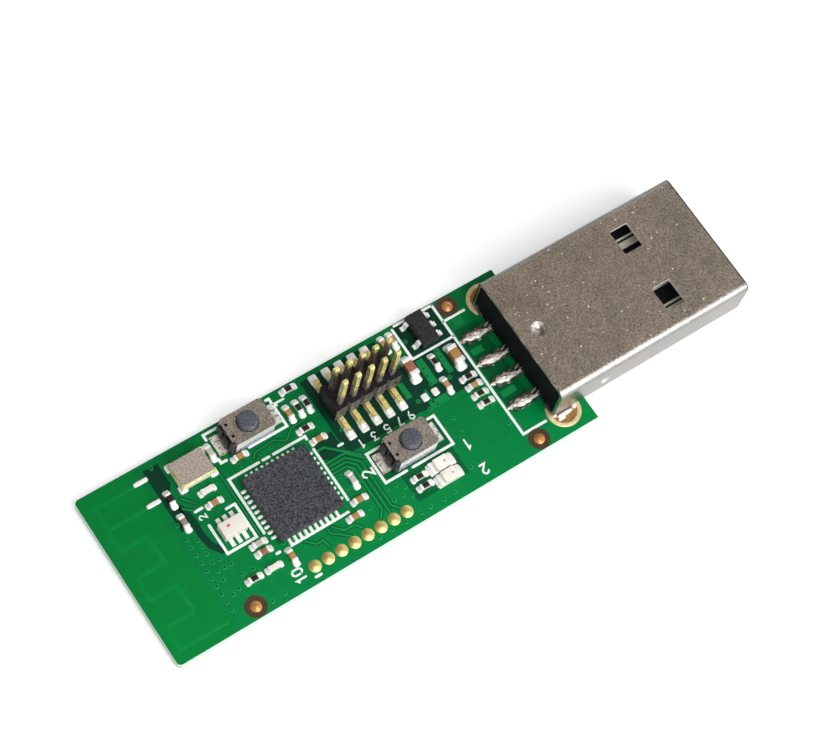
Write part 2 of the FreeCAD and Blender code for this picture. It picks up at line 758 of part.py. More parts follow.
def switch_dome(tag, number, x, y):
    """A thin sprung dome that stands on the floor of the well, under the button's nib."""
    dome = new_body(tag + "Dome")
    section = sketch_on(dome, "XZ_Plane", tag + "DomeSection")
    rim = s.dome_diameter / 2
    crown = s.button_nib_diameter / 2
    floor = s.switch_well_floor
    polygon(section, ((0, DOME_TOP - s.dome_wall), (crown, DOME_TOP - s.dome_wall), (rim - s.dome_wall, floor),
                      (rim, floor), (crown, DOME_TOP), (0, DOME_TOP)))
    turned(dome, section, tag + "DomeTurned")
    place(dome, x, y, BOARD_TOP)
    keep(dome, "switch_%d_dome" % number)


def balun():
    """A white ceramic block with plated leads on each long side."""
    x, y = ahead(s.balun_x), s.balun_y
    keep(box("BalunBlock", x, y, BOARD_TOP, s.balun_length, s.balun_width, s.balun_height), "balun_body")
    leads = []
    for step in centred_places(BALUN_SIDE_LEAD_COUNT, s.balun_lead_pitch):
        for side in (-1, 1):
            middle = side * (s.balun_width + s.balun_lead_reach) / 2
            leads.append(box("BalunLead", x + step, y + middle, BOARD_TOP,
                             s.balun_lead_width, s.balun_lead_reach, s.balun_lead_height))
    keep(group("BalunLeads", leads), "balun_terminals")


def regulator():
    """A moulded package with two gull-wing leads on one side and three on the other."""
    body = new_body("RegulatorBody")
    section = sketch_on(body, "XZ_Plane", "RegulatorSection")
    half, slope = s.regulator_length / 2, s.regulator_taper
    top = s.regulator_height - s.regulator_standoff
    polygon(section, ((slope - half, 0), (half - slope, 0), (half, top / 2), (half - slope, top),
                      (slope - half, top), (-half, top / 2)))
    pad(body, section, s.regulator_width, middle=True)
    x, y = ahead(s.regulator_x), s.regulator_y
    place(body, x, y, BOARD_TOP + s.regulator_standoff)
    keep(body, "regulator_body")
    leads = []
    for side, steps in ((-1, (-1, 1)), (1, (-1, 0, 1))):
        for step in steps:
            leads.append(gull_lead(x + side * half, y + step * s.regulator_lead_pitch, side))
    keep(group("RegulatorLeads", leads), "regulator_leads")


def gull_lead(x, y, side):
    """A strip that leaves the package at mid height, drops and ends in a foot."""
    lead = new_body("GullLead")
    profile = sketch_on(lead, "XZ_Plane", "GullProfile")
    thick, knee = s.regulator_lead_thickness, s.regulator_lead_knee
    crown = (s.regulator_height + s.regulator_standoff + thick) / 2
    polygon(profile, (
        (0, crown), (side * knee, crown), (side * (knee + thick), thick),
        (side * s.regulator_lead_reach, thick), (side * s.regulator_lead_reach, 0),
        (side * knee, 0), (side * (knee - thick), crown - thick), (0, crown - thick)))
    pad(lead, profile, s.regulator_lead_width, middle=True)
    return place(lead, x, y, BOARD_TOP)


def lamp(number, y):
    """A chip lamp: a plated base under a moulded lens with sloping ends."""
    x = ahead(s.led_x)
    keep(box("Led%dBase" % number, x, y, BOARD_TOP, s.led_length, s.led_width, s.led_base_height),
         "led_%d_base" % number)
    lens = new_body("Led%dLens" % number)
    section = sketch_on(lens, "XZ_Plane", "Led%dSection" % number)
    half = s.led_lens_length / 2
    polygon(section, ((-half, 0), (half, 0), (half - s.led_lens_taper, s.led_lens_height),
                      (s.led_lens_taper - half, s.led_lens_height)))
    pad(lens, section, s.led_width, middle=True)
    place(lens, x, y, BOARD_TOP + s.led_base_height)
    keep(lens, "led_%d_lens" % number)


def chip_piece(family, x, y, run):
    """A resistor, capacitor or coil: a block with a plated cap over each end."""
    length, width = getattr(s, family + "_length"), getattr(s, family + "_width")
    height, end = getattr(s, family + "_height"), getattr(s, family + "_end")
    middle, across = length - 2 * end, width - 2 * s.end_plating
    offset = (length - end) / 2
    if run == "x":
        pieces = [box("Block", x, y, BOARD_TOP, middle, across, height - s.end_plating)]
        pieces += [box("EndCap", x + side * offset, y, BOARD_TOP, end, width, height) for side in (-1, 1)]
    else:
        pieces = [box("Block", x, y, BOARD_TOP, across, middle, height - s.end_plating)]
        pieces += [box("EndCap", x, y + side * offset, BOARD_TOP, width, end, height) for side in (-1, 1)]
    return joined("ChipPiece", pieces)


def solder_fillet(x, y, z, run, side, width, reach, height):
    """A hollow fillet against the face at x, y, z, running out along x or y."""
    body = new_body("Fillet")
    plane = "XZ_Plane" if run == "x" else "YZ_Plane"
    section = sketch_on(body, plane, "FilletSection")
    polygon(section, ((0, 0), (side * reach, 0), (side * reach * FILLET_HOLLOW, height / 2), (0, height)))
    pad(body, section, width, middle=True)
    return place(body, x, y, z)


def small_parts():
    """Every chip piece, and a fillet at each of its ends."""
    fillets = []
    for name, family, places in SMALL_PARTS:
        pieces = []
        half = getattr(s, family + "_length") / 2
        width = getattr(s, family + "_width")
        climb = getattr(s, family + "_height") * FILLET_CLIMB
        for x, y, run in places:
            x, y = ahead(x), sized(y)
            pieces.append(chip_piece(family, x, y, run))
            for side in (-1, 1):
                face = (x + side * half, y) if run == "x" else (x, y + side * half)
                fillets.append(solder_fillet(*face, BOARD_TOP, run, side, width, s.fillet_reach, climb))
        keep(pieces[0] if len(pieces) == 1 else group("Pieces", pieces), name)
    return fillets


def header_lands():
    """A land under each pin's foot, and a fillet at the foot's toe."""
    pieces = []
    foot_end = s.header_pitch / 2 + s.pin_foot
    for step in centred_places(PIN_COLUMN_COUNT, s.header_pitch):
        for side in (-1, 1):
            x = ahead(s.header_x) + step
            middle = side * (foot_end + s.pin_toe - s.pin_land_length / 2)
            pieces.append(box("PinLand", x, s.header_y + middle, BOARD_TOP,
                              s.pin_land_width, s.pin_land_length, s.pad_thickness))
            pieces.append(solder_fillet(x, s.header_y + side * foot_end, LAND_TOP, "y", side,
                                        s.pin_width, s.pin_toe, s.pin_width * FILLET_CLIMB))
    return pieces


def plug_solder():
    """A land and a toe under each contact's tail, and the solder that fills each leg's slot."""
    pieces = []
    for spread in CONTACT_SPREADS:
        length = s.contact_tail + s.contact_toe
        pieces.append(box("ContactLand", PLUG_BACK - length / 2, spread, BOARD_TOP,
                          length, s.contact_width + 2 * s.contact_land_border, s.pad_thickness))
        pieces.append(solder_fillet(PLUG_BACK - s.contact_tail, spread, LAND_TOP, "x", -1,
                                    s.contact_width, s.contact_toe, s.contact_thickness))
    for side in (-1, 1):
        fill = new_body("LegSolder")
        face = sketch_on(fill, "XY_Plane", "LegSolderFace")
        leg_slot(face, 0, 0)
        rectangle(face, 0, 0, s.leg_length, s.plug_wall)
        pad(fill, face, s.board_thickness)
        pieces.append(place(fill, PLUG_BACK + LEG_MIDDLE, side * LEG_OFFSET, ORIGIN))
    return pieces


def chip_lands():
    """The tinned strip that shows beyond each lead of the radio chip."""
    pieces = []
    reach = (s.chip_width + s.chip_land_reach) / 2
    x, y = ahead(s.chip_x), s.chip_y
    for step in centred_places(CHIP_SIDE_LEAD_COUNT, s.chip_lead_pitch):
        for side in (-1, 1):
            pieces.append(box("ChipLand", x + step, y + side * reach, BOARD_TOP,
                              s.chip_lead_width, s.chip_land_reach, s.pad_thickness))
            pieces.append(box("ChipLand", x + side * reach, y + step, BOARD_TOP,
                              s.chip_land_reach, s.chip_lead_width, s.pad_thickness))
    return pieces


def bare_lands():
    """Tinned lands that carry no part."""
    pieces = []
    for x, y in ANTENNA_LANDS:
        pieces.append(box("AntennaLand", ahead(x), y, BOARD_TOP,
                          s.antenna_land_length, s.antenna_land_width, s.pad_thickness))
    for x, y in EMPTY_LANDS:
        pieces.append(box("EmptyLand", ahead(x), y, BOARD_TOP,
                          s.empty_land_length, s.empty_land_width, s.pad_thickness))
    return pieces


def lamp_fillets():
    pieces = []
    for side in (-1, 1):
        end = ahead(s.led_x) + side * s.led_length / 2
        for y in (s.led_1_y, s.led_2_y):
            pieces.append(solder_fillet(end, y, BOARD_TOP, "x", side, s.led_width,
                                        s.led_fillet_reach, s.led_base_height))
    return pieces


def gold_pads():
    """Bare gold: the row of test pads, three alignment dots and a ring round each leg slot."""
    pads = []
    for k in range(TEST_PAD_COUNT):
        pads.append(round_pad("TestPad", ahead(s.test_pad_x) + k * s.test_pad_pitch, s.test_pad_y, BOARD_TOP,
                              s.test_pad_diameter, s.pad_thickness))
    for x, y in FIDUCIALS:
        pads.append(round_pad("Fiducial", ahead(x), y, BOARD_TOP, s.fiducial_diameter, s.pad_thickness))
    ring_diameter = s.leg_length + 2 * (s.leg_slot_end_gap + s.ring_pad_border)
    for side in (-1, 1):
        x, y = PLUG_BACK + LEG_MIDDLE, side * LEG_OFFSET
        disc = round_pad("RingDisc", x, y, BOARD_TOP, ring_diameter, s.pad_thickness)
        opening = new_body("RingOpening")
        face = sketch_on(opening, "XY_Plane", "RingOpeningFace")
        leg_slot(face, 0, 0)
        pad(opening, face, s.pad_thickness)
        pads.append(cut("RingPad", disc, place(opening, x, y, BOARD_TOP)))
    keep(group("GoldPads", pads), "gold_pads")


circuit_board()
plug_shell()
contacts = [plug_contact(k + 1, CONTACT_SPREADS[k], CONTACT_SETBACKS[k]) for k in range(len(CONTACT_SPREADS))]
plug_insulator(contacts)
header_body([header_pin(column, side) for column in range(PIN_COLUMN_COUNT) for side in (-1, 1)])
radio_chip()
crystal()
push_switch(1, ahead(s.switch_1_x), s.switch_1_y)
push_switch(2, ahead(s.switch_2_x), s.switch_2_y)
balun()
regulator()
lamp(1, s.led_1_y)
lamp(2, s.led_2_y)
part_fillets = small_parts()
keep(group("Solder", part_fillets + lamp_fillets() + header_lands() + plug_solder() + chip_lands() + bare_lands()),
     "solder_joints")
gold_pads()
doc.recompute()

for thing in doc.Objects:
    if "Invalid" in thing.State or "Error" in thing.State:
        raise ValueError("%s (%s) failed: %s" % (thing.Label, thing.Name, thing.State))
for node in NODES:
    if node.Shape.isNull() or not node.Shape.isValid():
        raise ValueError("%s has no valid shape" % node.Label)

os.makedirs("parts", exist_ok=True)
for node in NODES:
    node.Shape.exportStep("parts/%s.step" % node.Label)
print("%d nodes written" % len(NODES))
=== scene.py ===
"""The looks of a bare radio stick: board, print, solder, chip parts, buttons, plug and studio."""

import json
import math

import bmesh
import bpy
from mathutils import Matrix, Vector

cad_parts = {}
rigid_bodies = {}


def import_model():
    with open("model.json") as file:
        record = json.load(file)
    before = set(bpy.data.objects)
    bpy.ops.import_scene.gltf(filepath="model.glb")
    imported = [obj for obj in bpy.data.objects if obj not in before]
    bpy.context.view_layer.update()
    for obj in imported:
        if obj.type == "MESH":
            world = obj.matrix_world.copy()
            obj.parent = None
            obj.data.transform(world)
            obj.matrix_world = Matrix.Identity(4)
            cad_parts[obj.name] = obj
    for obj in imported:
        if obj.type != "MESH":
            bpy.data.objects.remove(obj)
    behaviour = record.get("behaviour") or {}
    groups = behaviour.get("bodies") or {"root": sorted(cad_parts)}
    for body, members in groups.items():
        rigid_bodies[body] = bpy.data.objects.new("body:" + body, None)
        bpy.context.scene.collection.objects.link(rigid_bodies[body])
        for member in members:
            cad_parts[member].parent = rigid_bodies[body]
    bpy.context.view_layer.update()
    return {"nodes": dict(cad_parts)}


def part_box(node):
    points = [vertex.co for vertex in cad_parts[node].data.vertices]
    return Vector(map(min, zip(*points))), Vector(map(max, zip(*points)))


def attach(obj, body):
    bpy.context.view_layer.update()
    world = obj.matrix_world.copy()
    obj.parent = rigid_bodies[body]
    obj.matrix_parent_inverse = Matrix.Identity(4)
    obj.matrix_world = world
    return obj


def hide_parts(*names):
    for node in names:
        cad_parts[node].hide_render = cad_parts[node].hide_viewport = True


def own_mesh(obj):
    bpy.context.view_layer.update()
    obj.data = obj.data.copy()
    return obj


bl_info = {
    "name": "Radio Stick",
    "version": (1, 0, 0),
    "blender": (4, 5, 0),
    "location": "View3D > Sidebar > Stick",
    "description": "Dresses a bare radio stick and sets up its studio",
    "category": "Object",
}

for left_over in list(bpy.data.objects):
    bpy.data.objects.remove(left_over)

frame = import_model()
NODES = frame["nodes"]

MM = 0.001
STICK = "stick"

BOARD_LOW, BOARD_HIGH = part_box("circuit_board")
BOARD_TOP = BOARD_HIGH.z


def paint(red, green, blue):
    """A screen colour, 0 to 255 a channel, as the linear colour that a shader takes."""
    channels = [c / 255 for c in (red, green, blue)]
    return tuple(c / 12.92 if c <= 0.04045 else ((c + 0.055) / 1.055) ** 2.4 for c in channels)


def length_setting(name, description, default):
    return bpy.props.FloatProperty(name=name, description=description, default=default, min=0.0,
                                   subtype="DISTANCE", unit="LENGTH", precision=6)


def colour_setting(name, description, default):
    return bpy.props.FloatVectorProperty(name=name, description=description, default=default, size=3,
                                         min=0.0, max=1.0, subtype="COLOR")


class BoardSettings(bpy.types.PropertyGroup):
    mask: colour_setting("Mask", "Solder mask over copper", paint(2, 122, 60))
    bare_mask: colour_setting("Bare mask", "Solder mask over plain laminate at the antenna", paint(1, 124, 54))
    # The dark mask also paints shade: the pins' shadow round the header.
    dark_mask: colour_setting("Dark mask", "Solder mask where the copper is cut away", paint(14, 64, 46))
    gap_mask: colour_setting("Gap mask", "Solder mask beside a copper line", paint(6, 92, 50))
    line_mask: colour_setting("Line mask", "Solder mask over a raised copper line", paint(18, 138, 70))
    laminate: colour_setting("Laminate", "Cut edge of the glass laminate", paint(208, 230, 216))
    print_white: colour_setting("Print", "Printed lines and numbers", paint(240, 246, 244))
    print_width: length_setting("Print width", "Width of a printed line", 0.24 * MM)
    print_rise: length_setting("Print rise", "Thickness of the print", 0.018 * MM)
    line_width: length_setting("Line width", "Width of a copper line", 0.17 * MM)
    antenna_width: length_setting("Antenna width", "Width of the folded antenna line", 0.42 * MM)
    line_rise: length_setting("Line rise", "How far covered copper stands up", 0.016 * MM)
    via_width: length_setting("Via width", "Outer width of a covered through hole", 0.42 * MM)


class MetalSettings(bpy.types.PropertyGroup):
    tin: colour_setting("Tin", "Solder and tinned ends", paint(250, 249, 247))
    gold: colour_setting("Gold", "Gold plating", paint(250, 224, 146))
    pad_gold: colour_setting("Pad gold", "Flat gold pads", paint(255, 226, 148))
    ring_gold: colour_setting("Ring gold", "Gold rings round the plug's legs", paint(240, 222, 172))
    blade: colour_setting("Blade", "Contact blades inside the plug", paint(244, 238, 214))
    stain: colour_setting("Stain", "Flux-stained gold round the plug's legs", paint(186, 146, 92))
    steel: colour_setting("Steel", "Plated shell of the plug", paint(208, 205, 200))
    plate: colour_setting("Plate", "Pressed covers", paint(206, 205, 204))
    lid: colour_setting("Lid", "The crystal's lid", paint(232, 224, 216))
    # Painted shade: the dark colour of the covers' folded ends and of the tabs beside them.
    skirt: colour_setting("Skirt", "Folded ends of the pressed covers", paint(58, 56, 58))
    solder_reach: length_setting("Solder reach", "How far solder runs out from a part", 0.3 * MM)
    land_rise: length_setting("Land rise", "Thickness of solder on a bare land", 0.06 * MM)


class PartSettings(bpy.types.PropertyGroup):
    black_resin: colour_setting("Black resin", "The radio chip's body", paint(61, 63, 68))
    dark_resin: colour_setting("Dark resin", "The regulator's body", paint(40, 41, 45))
    plug_black: colour_setting("Plug black", "The plug's moulding", paint(20, 24, 29))
    header_black: colour_setting("Header black", "The header's moulding", paint(30, 25, 33))
    white_plastic: colour_setting("White plastic", "Switch bases and lamp bases", paint(238, 236, 228))
    button: colour_setting("Button", "Push buttons", paint(78, 82, 92))
    ceramic: colour_setting("Ceramic", "Pale ceramic bodies", paint(232, 228, 216))
    glaze: colour_setting("Glaze", "Black top of a resistor", paint(34, 30, 30))
    lens: colour_setting("Lens", "Milky lamp lens", paint(246, 240, 230))
    edge: length_setting("Edge", "Rounding of a small part's edges", 0.03 * MM)


class StudioSettings(bpy.types.PropertyGroup):
    floor: colour_setting("Floor", "Pale floor", (0.86, 0.86, 0.86))
    floor_size: length_setting("Floor size", "Width of the floor", 3.0)
    key_power: bpy.props.FloatProperty(name="Key power", description="Watts of the near soft light", default=0.42)
    top_power: bpy.props.FloatProperty(name="Top power", description="Watts of the soft light above", default=0.62)
    sky: bpy.props.FloatProperty(name="Sky", description="Strength of the even light all round", default=0.62)
    ceiling: colour_setting("Ceiling", "The dim room that metal sees overhead", (0.236, 0.168, 0.112))
    room: colour_setting("Room", "The dark room that metal sees behind the stick", (0.1, 0.09, 0.075))
    lens: bpy.props.FloatProperty(name="Lens", description="Focal length in millimetres", default=96.88)


def settings():
    """The four groups of settings of this scene."""
    scene = bpy.context.scene
    return scene.stick_board, scene.stick_metal, scene.stick_parts, scene.stick_studio


class Finish:
    """A material under construction, measured in the part's own frame."""

    def __init__(self, name, roughness=0.5, metallic=0.0, coat=0.0, coat_roughness=0.1, specular=0.5):
        self.material = bpy.data.materials.new(name)
        self.material.use_nodes = True
        self.nodes = self.material.node_tree.nodes
        self.links = self.material.node_tree.links
        self.shader = self.nodes["Principled BSDF"]
        self.shader.inputs["Roughness"].default_value = roughness
        self.shader.inputs["Metallic"].default_value = metallic
        self.shader.inputs["Coat Weight"].default_value = coat
        self.shader.inputs["Coat Roughness"].default_value = coat_roughness
        self.shader.inputs["Specular IOR Level"].default_value = specular
        self.place = self.nodes.new("ShaderNodeTexCoord").outputs["Object"]

    def link(self, output, node, socket):
        self.links.new(output, node.inputs[socket])

    def stretched(self, x, y, z):
        """The place with each direction scaled, for grain that runs one way."""
        node = self.nodes.new("ShaderNodeMapping")
        node.inputs["Scale"].default_value = (x, y, z)
        self.link(self.place, node, "Vector")
        return node.outputs["Vector"]

    def noise(self, grain, detail=2.0, place=None, roughness=0.5):
        """Noise whose lumps are about grain metres across."""
        node = self.nodes.new("ShaderNodeTexNoise")
        node.inputs["Scale"].default_value = 1 / grain
        node.inputs["Detail"].default_value = detail
        node.inputs["Roughness"].default_value = roughness
        self.link(place or self.place, node, "Vector")
        return node.outputs["Fac"]

    def specks(self, grain):
        """Distance from scattered points about grain metres apart, as a share of that."""
        node = self.nodes.new("ShaderNodeTexVoronoi")
        node.inputs["Scale"].default_value = 1 / grain
        self.link(self.place, node, "Vector")
        return node.outputs["Distance"]

    def axis(self, name, source=None):
        node = self.nodes.new("ShaderNodeSeparateXYZ")
        self.link(source or self.place, node, "Vector")
        return node.outputs[name]

    def normal(self, name):
        node = self.nodes.new("ShaderNodeNewGeometry")
        return self.axis(name, node.outputs["Normal"])

    def span(self, value, low, high, start=0.0, end=1.0):
        """The value, mapped from low..high to start..end and held there."""
        node = self.nodes.new("ShaderNodeMapRange")
        for socket, number in (("From Min", low), ("From Max", high), ("To Min", start), ("To Max", end)):
            node.inputs[socket].default_value = number
        self.link(value, node, "Value")
        return node.outputs["Result"]

    def maths(self, operation, first, second=0.0):
        node = self.nodes.new("ShaderNodeMath")
        node.operation = operation
        for index, value in enumerate((first, second)):
            if isinstance(value, bpy.types.NodeSocket):
                self.links.new(value, node.inputs[index])
            else:
                node.inputs[index].default_value = value
        return node.outputs["Value"]

    def mix(self, share, first, second):
        """A colour between two, by a share from 0 to 1."""
        node = self.nodes.new("ShaderNodeMix")
        node.data_type = "RGBA"
        self.link(share, node, 0)
        for index, value in ((6, first), (7, second)):
            if isinstance(value, bpy.types.NodeSocket):
                self.links.new(value, node.inputs[index])
            else:
                node.inputs[index].default_value = (*value, 1.0)
        return node.outputs[2]

    def colour(self, value):
        self.link(value, self.shader, "Base Color")

    def rough(self, value):
        self.link(value, self.shader, "Roughness")

    def bump(self, height, distance, strength=1.0):
        node = self.nodes.new("ShaderNodeBump")
        node.inputs["Distance"].default_value = distance
        node.inputs["Strength"].default_value = strength
        self.link(height, node, "Height")
        self.link(node.outputs["Normal"], self.shader, "Normal")


def shaded(colour, factor):
    return tuple(min(1.0, c * factor) for c in colour)


def mottled(name, colour, spread=0.12, grain=0.4 * MM, bump=0.004 * MM, roughness=0.5, roughness_spread=0.1, **base):
    """A plain finish whose colour, gloss and surface vary gently."""
    made = Finish(name, roughness, **base)
    cloud = made.noise(grain, 3.0)
    made.colour(made.mix(made.span(cloud, 0.3, 0.7), shaded(colour, 1 - spread), shaded(colour, 1 + spread)))
    fine = made.noise(grain / 6, 2.0)
    made.rough(made.span(fine, 0.3, 0.7, roughness - roughness_spread, roughness + roughness_spread))
    made.bump(fine, bump)
    return made.material


FINISHES = {}


# How far the round dimple on top of the plug lies ahead of the shell's back.
DIMPLE_BACK = 1.8 * MM


def antenna_edge():
    """Where the copper begins, in metres along the stick."""
    return BOARD_LOW.x + 5.45 * MM


def mask_finish(name, colour, bare=None, far=0.72, near=1.28, grain_share=0.1):
    """Solder mask: faintly wavy over the weave, with painted light that makes it darker towards the far edge and
    lighter towards the near one, and lighter past the copper.
    """
    made = Finish(name, 0.34, specular=0.1)
    cloud = made.noise(0.9 * MM, 4.0)
    grain = made.noise(0.13 * MM, 2.0, roughness=0.7)
    # Painted light: far and near scale the mask's colour at the far and near edges, with a random tone on top.
    across = made.span(made.axis("Y"), BOARD_HIGH.y, BOARD_LOW.y, 0.12, 0.88)
    light_and_tone_drift = made.maths("ADD", across, made.span(cloud, 0.3, 0.7, -0.12, 0.12))

    def toned(base, low, high):
        tone = made.mix(light_and_tone_drift, shaded(base, low), shaded(base, high))
        return made.mix(made.span(grain, 0.42, 0.58, 0.0, grain_share), tone, shaded(base, 0.1))

    tone = toned(colour, far, near)
    if bare is not None:
        past = made.span(made.axis("X"), antenna_edge() - 0.25 * MM, antenna_edge())
        tone = made.mix(past, toned(bare, 0.88, 1.18), tone)
        glass = made.noise(0.05 * MM, 3.0, made.stretched(0.15, 0.15, 3.0))
        laminate = settings()[0].laminate
        cut = made.mix(glass, shaded(laminate, 0.82), shaded(laminate, 1.05))
        skin = made.span(made.maths("ABSOLUTE", made.normal("Z")), 0.4, 0.6)
        tone = made.mix(skin, cut, tone)
    made.colour(tone)
    made.bump(cloud, 0.01 * MM)
    return made.material


def plug_steel():
    """Satin plated steel: coarse grain and a mottled sheen, with painted shade on the side walls and the far bend, a
    darker band along the mouth's top edge, painted highlights on the window rims and scattered painted glints.
    """
    metal = settings()[1]
    made = Finish("plug_steel", 0.32)
    low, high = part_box("plug_shell")
    along, across = made.axis("X"), made.axis("Y")
    cloud = made.noise(2.2 * MM, 3.0)
    grain = made.noise(0.1 * MM, 2.0, roughness=0.7)
    tone = made.mix(made.span(cloud, 0.3, 0.7), shaded(metal.steel, 0.78), shaded(metal.steel, 1.14))
    tone = made.mix(made.span(grain, 0.36, 0.52), shaded(metal.steel, 0.72), tone)
    tone = made.mix(made.span(grain, 0.54, 0.72), tone, shaded(metal.steel, 1.35))
    # Painted shade: faces that look across the stick, the side walls, are darkened.
    side = made.span(made.maths("ABSOLUTE", made.normal("Y")), 0.7, 0.95, 0.0, 0.75)
    tone = made.mix(side, tone, shaded(metal.steel, 0.36))
    # A darker band along the mouth's top edge, and painted shade along the far bend.
    mouth = made.span(along, high.x - 0.16 * MM, high.x - 0.06 * MM)
    far = made.span(across, high.y - 0.3 * MM, high.y - 0.12 * MM)
    tone = made.mix(made.maths("MAXIMUM", mouth, far), tone, shaded(metal.steel, 0.14))
    # Painted highlights: the cut faces round the windows, and scattered painted glints on the flat faces, are pale and
    # not metallic.
    upright = made.span(made.maths("ABSOLUTE", made.normal("Z")), 0.3, 0.5, 1.0, 0.0)
    within = made.span(made.maths("ABSOLUTE", across), 5.0 * MM, 5.1 * MM, 1.0, 0.0)
    between = made.maths("MULTIPLY", made.span(along, low.x + 3 * MM, low.x + 3.1 * MM),
                         made.span(along, high.x - 1 * MM, high.x - 0.9 * MM, 1.0, 0.0))
    cut = made.maths("MULTIPLY", upright, made.maths("MULTIPLY", within, between))
    sparse = made.span(made.noise(0.9 * MM, 1.0), 0.53, 0.58)
    glints = made.maths("MULTIPLY", made.span(made.specks(0.5 * MM), 0.08, 0.19, 1.0, 0.0), sparse)
    flat = made.span(upright, 0.0, 1.0, 1.0, 0.0)
    pale = made.maths("MAXIMUM", cut, made.maths("MULTIPLY", glints, flat))
    made.colour(made.mix(pale, tone, (0.85, 0.8, 0.7)))
    made.link(made.span(pale, 0.0, 1.0, 1.0, 0.0), made.shader, "Metallic")
    made.rough(made.span(grain, 0.3, 0.7, 0.22, 0.42))
    out = made.maths("SUBTRACT", along, low.x + DIMPLE_BACK)
    reach = made.maths("ADD", made.maths("MULTIPLY", out, out), made.maths("MULTIPLY", across, across))
    bowl = made.span(reach, 0.0, (0.5 * MM) ** 2, -0.22 * MM, 0.0)
    made.bump(made.maths("ADD", made.maths("MULTIPLY", grain, 0.008 * MM), bowl), 1.0)
    return made.material


def speckled(name, colour, roughness, grain=0.15 * MM, dark=0.35, light=1.9, bump=0.006 * MM, **base):
    """A moulded finish with a coarse sparkling grain."""
    made = Finish(name, roughness, **base)
    fine = made.noise(grain, 1.0, roughness=0.75)
    cloud = made.noise(0.8 * MM, 3.0)
    tone = made.mix(made.span(fine, 0.38, 0.62), shaded(colour, dark), shaded(colour, light))
    made.colour(made.mix(made.span(cloud, 0.3, 0.7, 0.0, 0.25), tone, shaded(colour, 1.2)))
    made.rough(made.span(fine, 0.3, 0.7, roughness - 0.1, roughness + 0.1))
    made.bump(fine, bump)
    return made.material


def cover_metal():
    """The pressed cover of a switch: grained plate, with painted shade on its folded ends."""
    metal = settings()[1]
    made = Finish("cover", 0.38, metallic=1.0)
    fine = made.noise(0.13 * MM, 2.0, roughness=0.75)
    tone = made.mix(made.span(fine, 0.38, 0.62), shaded(metal.plate, 0.55), shaded(metal.plate, 1.3))
    # Painted shade: faces that look along the stick, the folded ends, take the dark end colour.
    end = made.span(made.maths("ABSOLUTE", made.normal("X")), 0.5, 0.8)
    made.colour(made.mix(end, tone, metal.skirt))
    made.link(made.span(end, 0.0, 1.0, 1.0, 0.3), made.shader, "Metallic")
    made.bump(fine, 0.004 * MM)
    return made.material


def lid_metal():
    """The crystal's lid: grained on top, with a painted highlight down its sides."""
    metal = settings()[1]
    made = Finish("lid", 0.4)
    fine = made.noise(0.13 * MM, 2.0, roughness=0.75)
    top = made.mix(made.span(fine, 0.38, 0.62), shaded(metal.lid, 0.6), shaded(metal.lid, 1.3))
    # Painted highlight: the upright faces are pale and barely metallic.
    side = made.span(made.maths("ABSOLUTE", made.normal("Z")), 0.5, 0.8, 1.0, 0.0)
    made.colour(made.mix(side, top, paint(250, 240, 222)))
    made.link(made.span(side, 0.0, 1.0, 0.85, 0.1), made.shader, "Metallic")
    made.bump(fine, 0.002 * MM)
    return made.material


def pin_gold(name, near):
    """Header gold with painted light and shade: pale on feet and tips, with painted shade and dark reflection low on
    each post, where the strip and its neighbours shade it, and on faces that look to the left.
    """
    metal = settings()[1]
    made = Finish(name, 0.3)
    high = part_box("header_pin_1")[1]
    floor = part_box("header_body")[1].z
    cloud = made.noise(0.3 * MM, 3.0, roughness=0.7)
    # Painted shade: below a height on each post, and on faces that look to the left, the gold gives way to a dark
    # colour.
    height = made.maths("ADD", made.axis("Z"), made.span(cloud, 0.3, 0.7, -0.6 * MM, 0.6 * MM))
    start = floor + (0.3 if near else 0.8) * (high.z - floor)
    left_face_shade = made.span(made.normal("X"), -0.6, -0.3, 0.35, 1.0)
    lit = made.maths("MULTIPLY", made.span(height, start, start + 0.5 * MM), left_face_shade)
    tip = made.span(made.axis("Z"), high.z - 0.4 * MM, high.z - 0.3 * MM)
    foot = made.span(made.axis("Z"), BOARD_TOP + 1.0 * MM, BOARD_TOP + 1.2 * MM, 1.0, 0.0)
    share = made.maths("MAXIMUM", made.maths("MAXIMUM", lit, foot), tip)
    bright = made.mix(made.span(cloud, 0.36, 0.56), shaded(metal.gold, 0.62), shaded(metal.gold, 1.2))
    shade = (paint(70, 62, 54), paint(176, 164, 142)) if near else (paint(34, 28, 28), paint(100, 88, 72))
    shaded_post = made.mix(made.span(cloud, 0.4, 0.6), *shade)
    made.colour(made.mix(share, shaded_post, bright))
    made.link(made.span(share, 0.0, 1.0, 0.1, 0.4), made.shader, "Metallic")
    made.bump(cloud, 0.004 * MM)
    return made.material


def streaked(name, dark, light, metallic):
    """Solder drawn out in streaks along the stick."""
    made = Finish(name, 0.28, metallic=metallic)
    streaks = made.noise(0.16 * MM, 3.0, made.stretched(0.35, 1.0, 1.0), roughness=0.7)
    made.colour(made.mix(made.span(streaks, 0.4, 0.5), dark, light))
    made.bump(streaks, 0.03 * MM)
    return made.material


def switch_white():
    """The white base of a switch, in blue-grey shade towards the board."""
    parts = settings()[2]
    made = Finish("switch_white", 0.45)
    cloud = made.noise(0.3 * MM, 3.0)
    low = made.mix(made.span(cloud, 0.35, 0.65), paint(120, 124, 146), paint(196, 198, 214))
    line = made.maths("ADD", made.axis("Z"), made.span(cloud, 0.3, 0.7, -0.12 * MM, 0.12 * MM))
    shade = made.span(line, BOARD_TOP + 0.7 * MM, BOARD_TOP + 0.8 * MM)
    made.colour(made.mix(shade, low, parts.white_plastic))
    return made.material


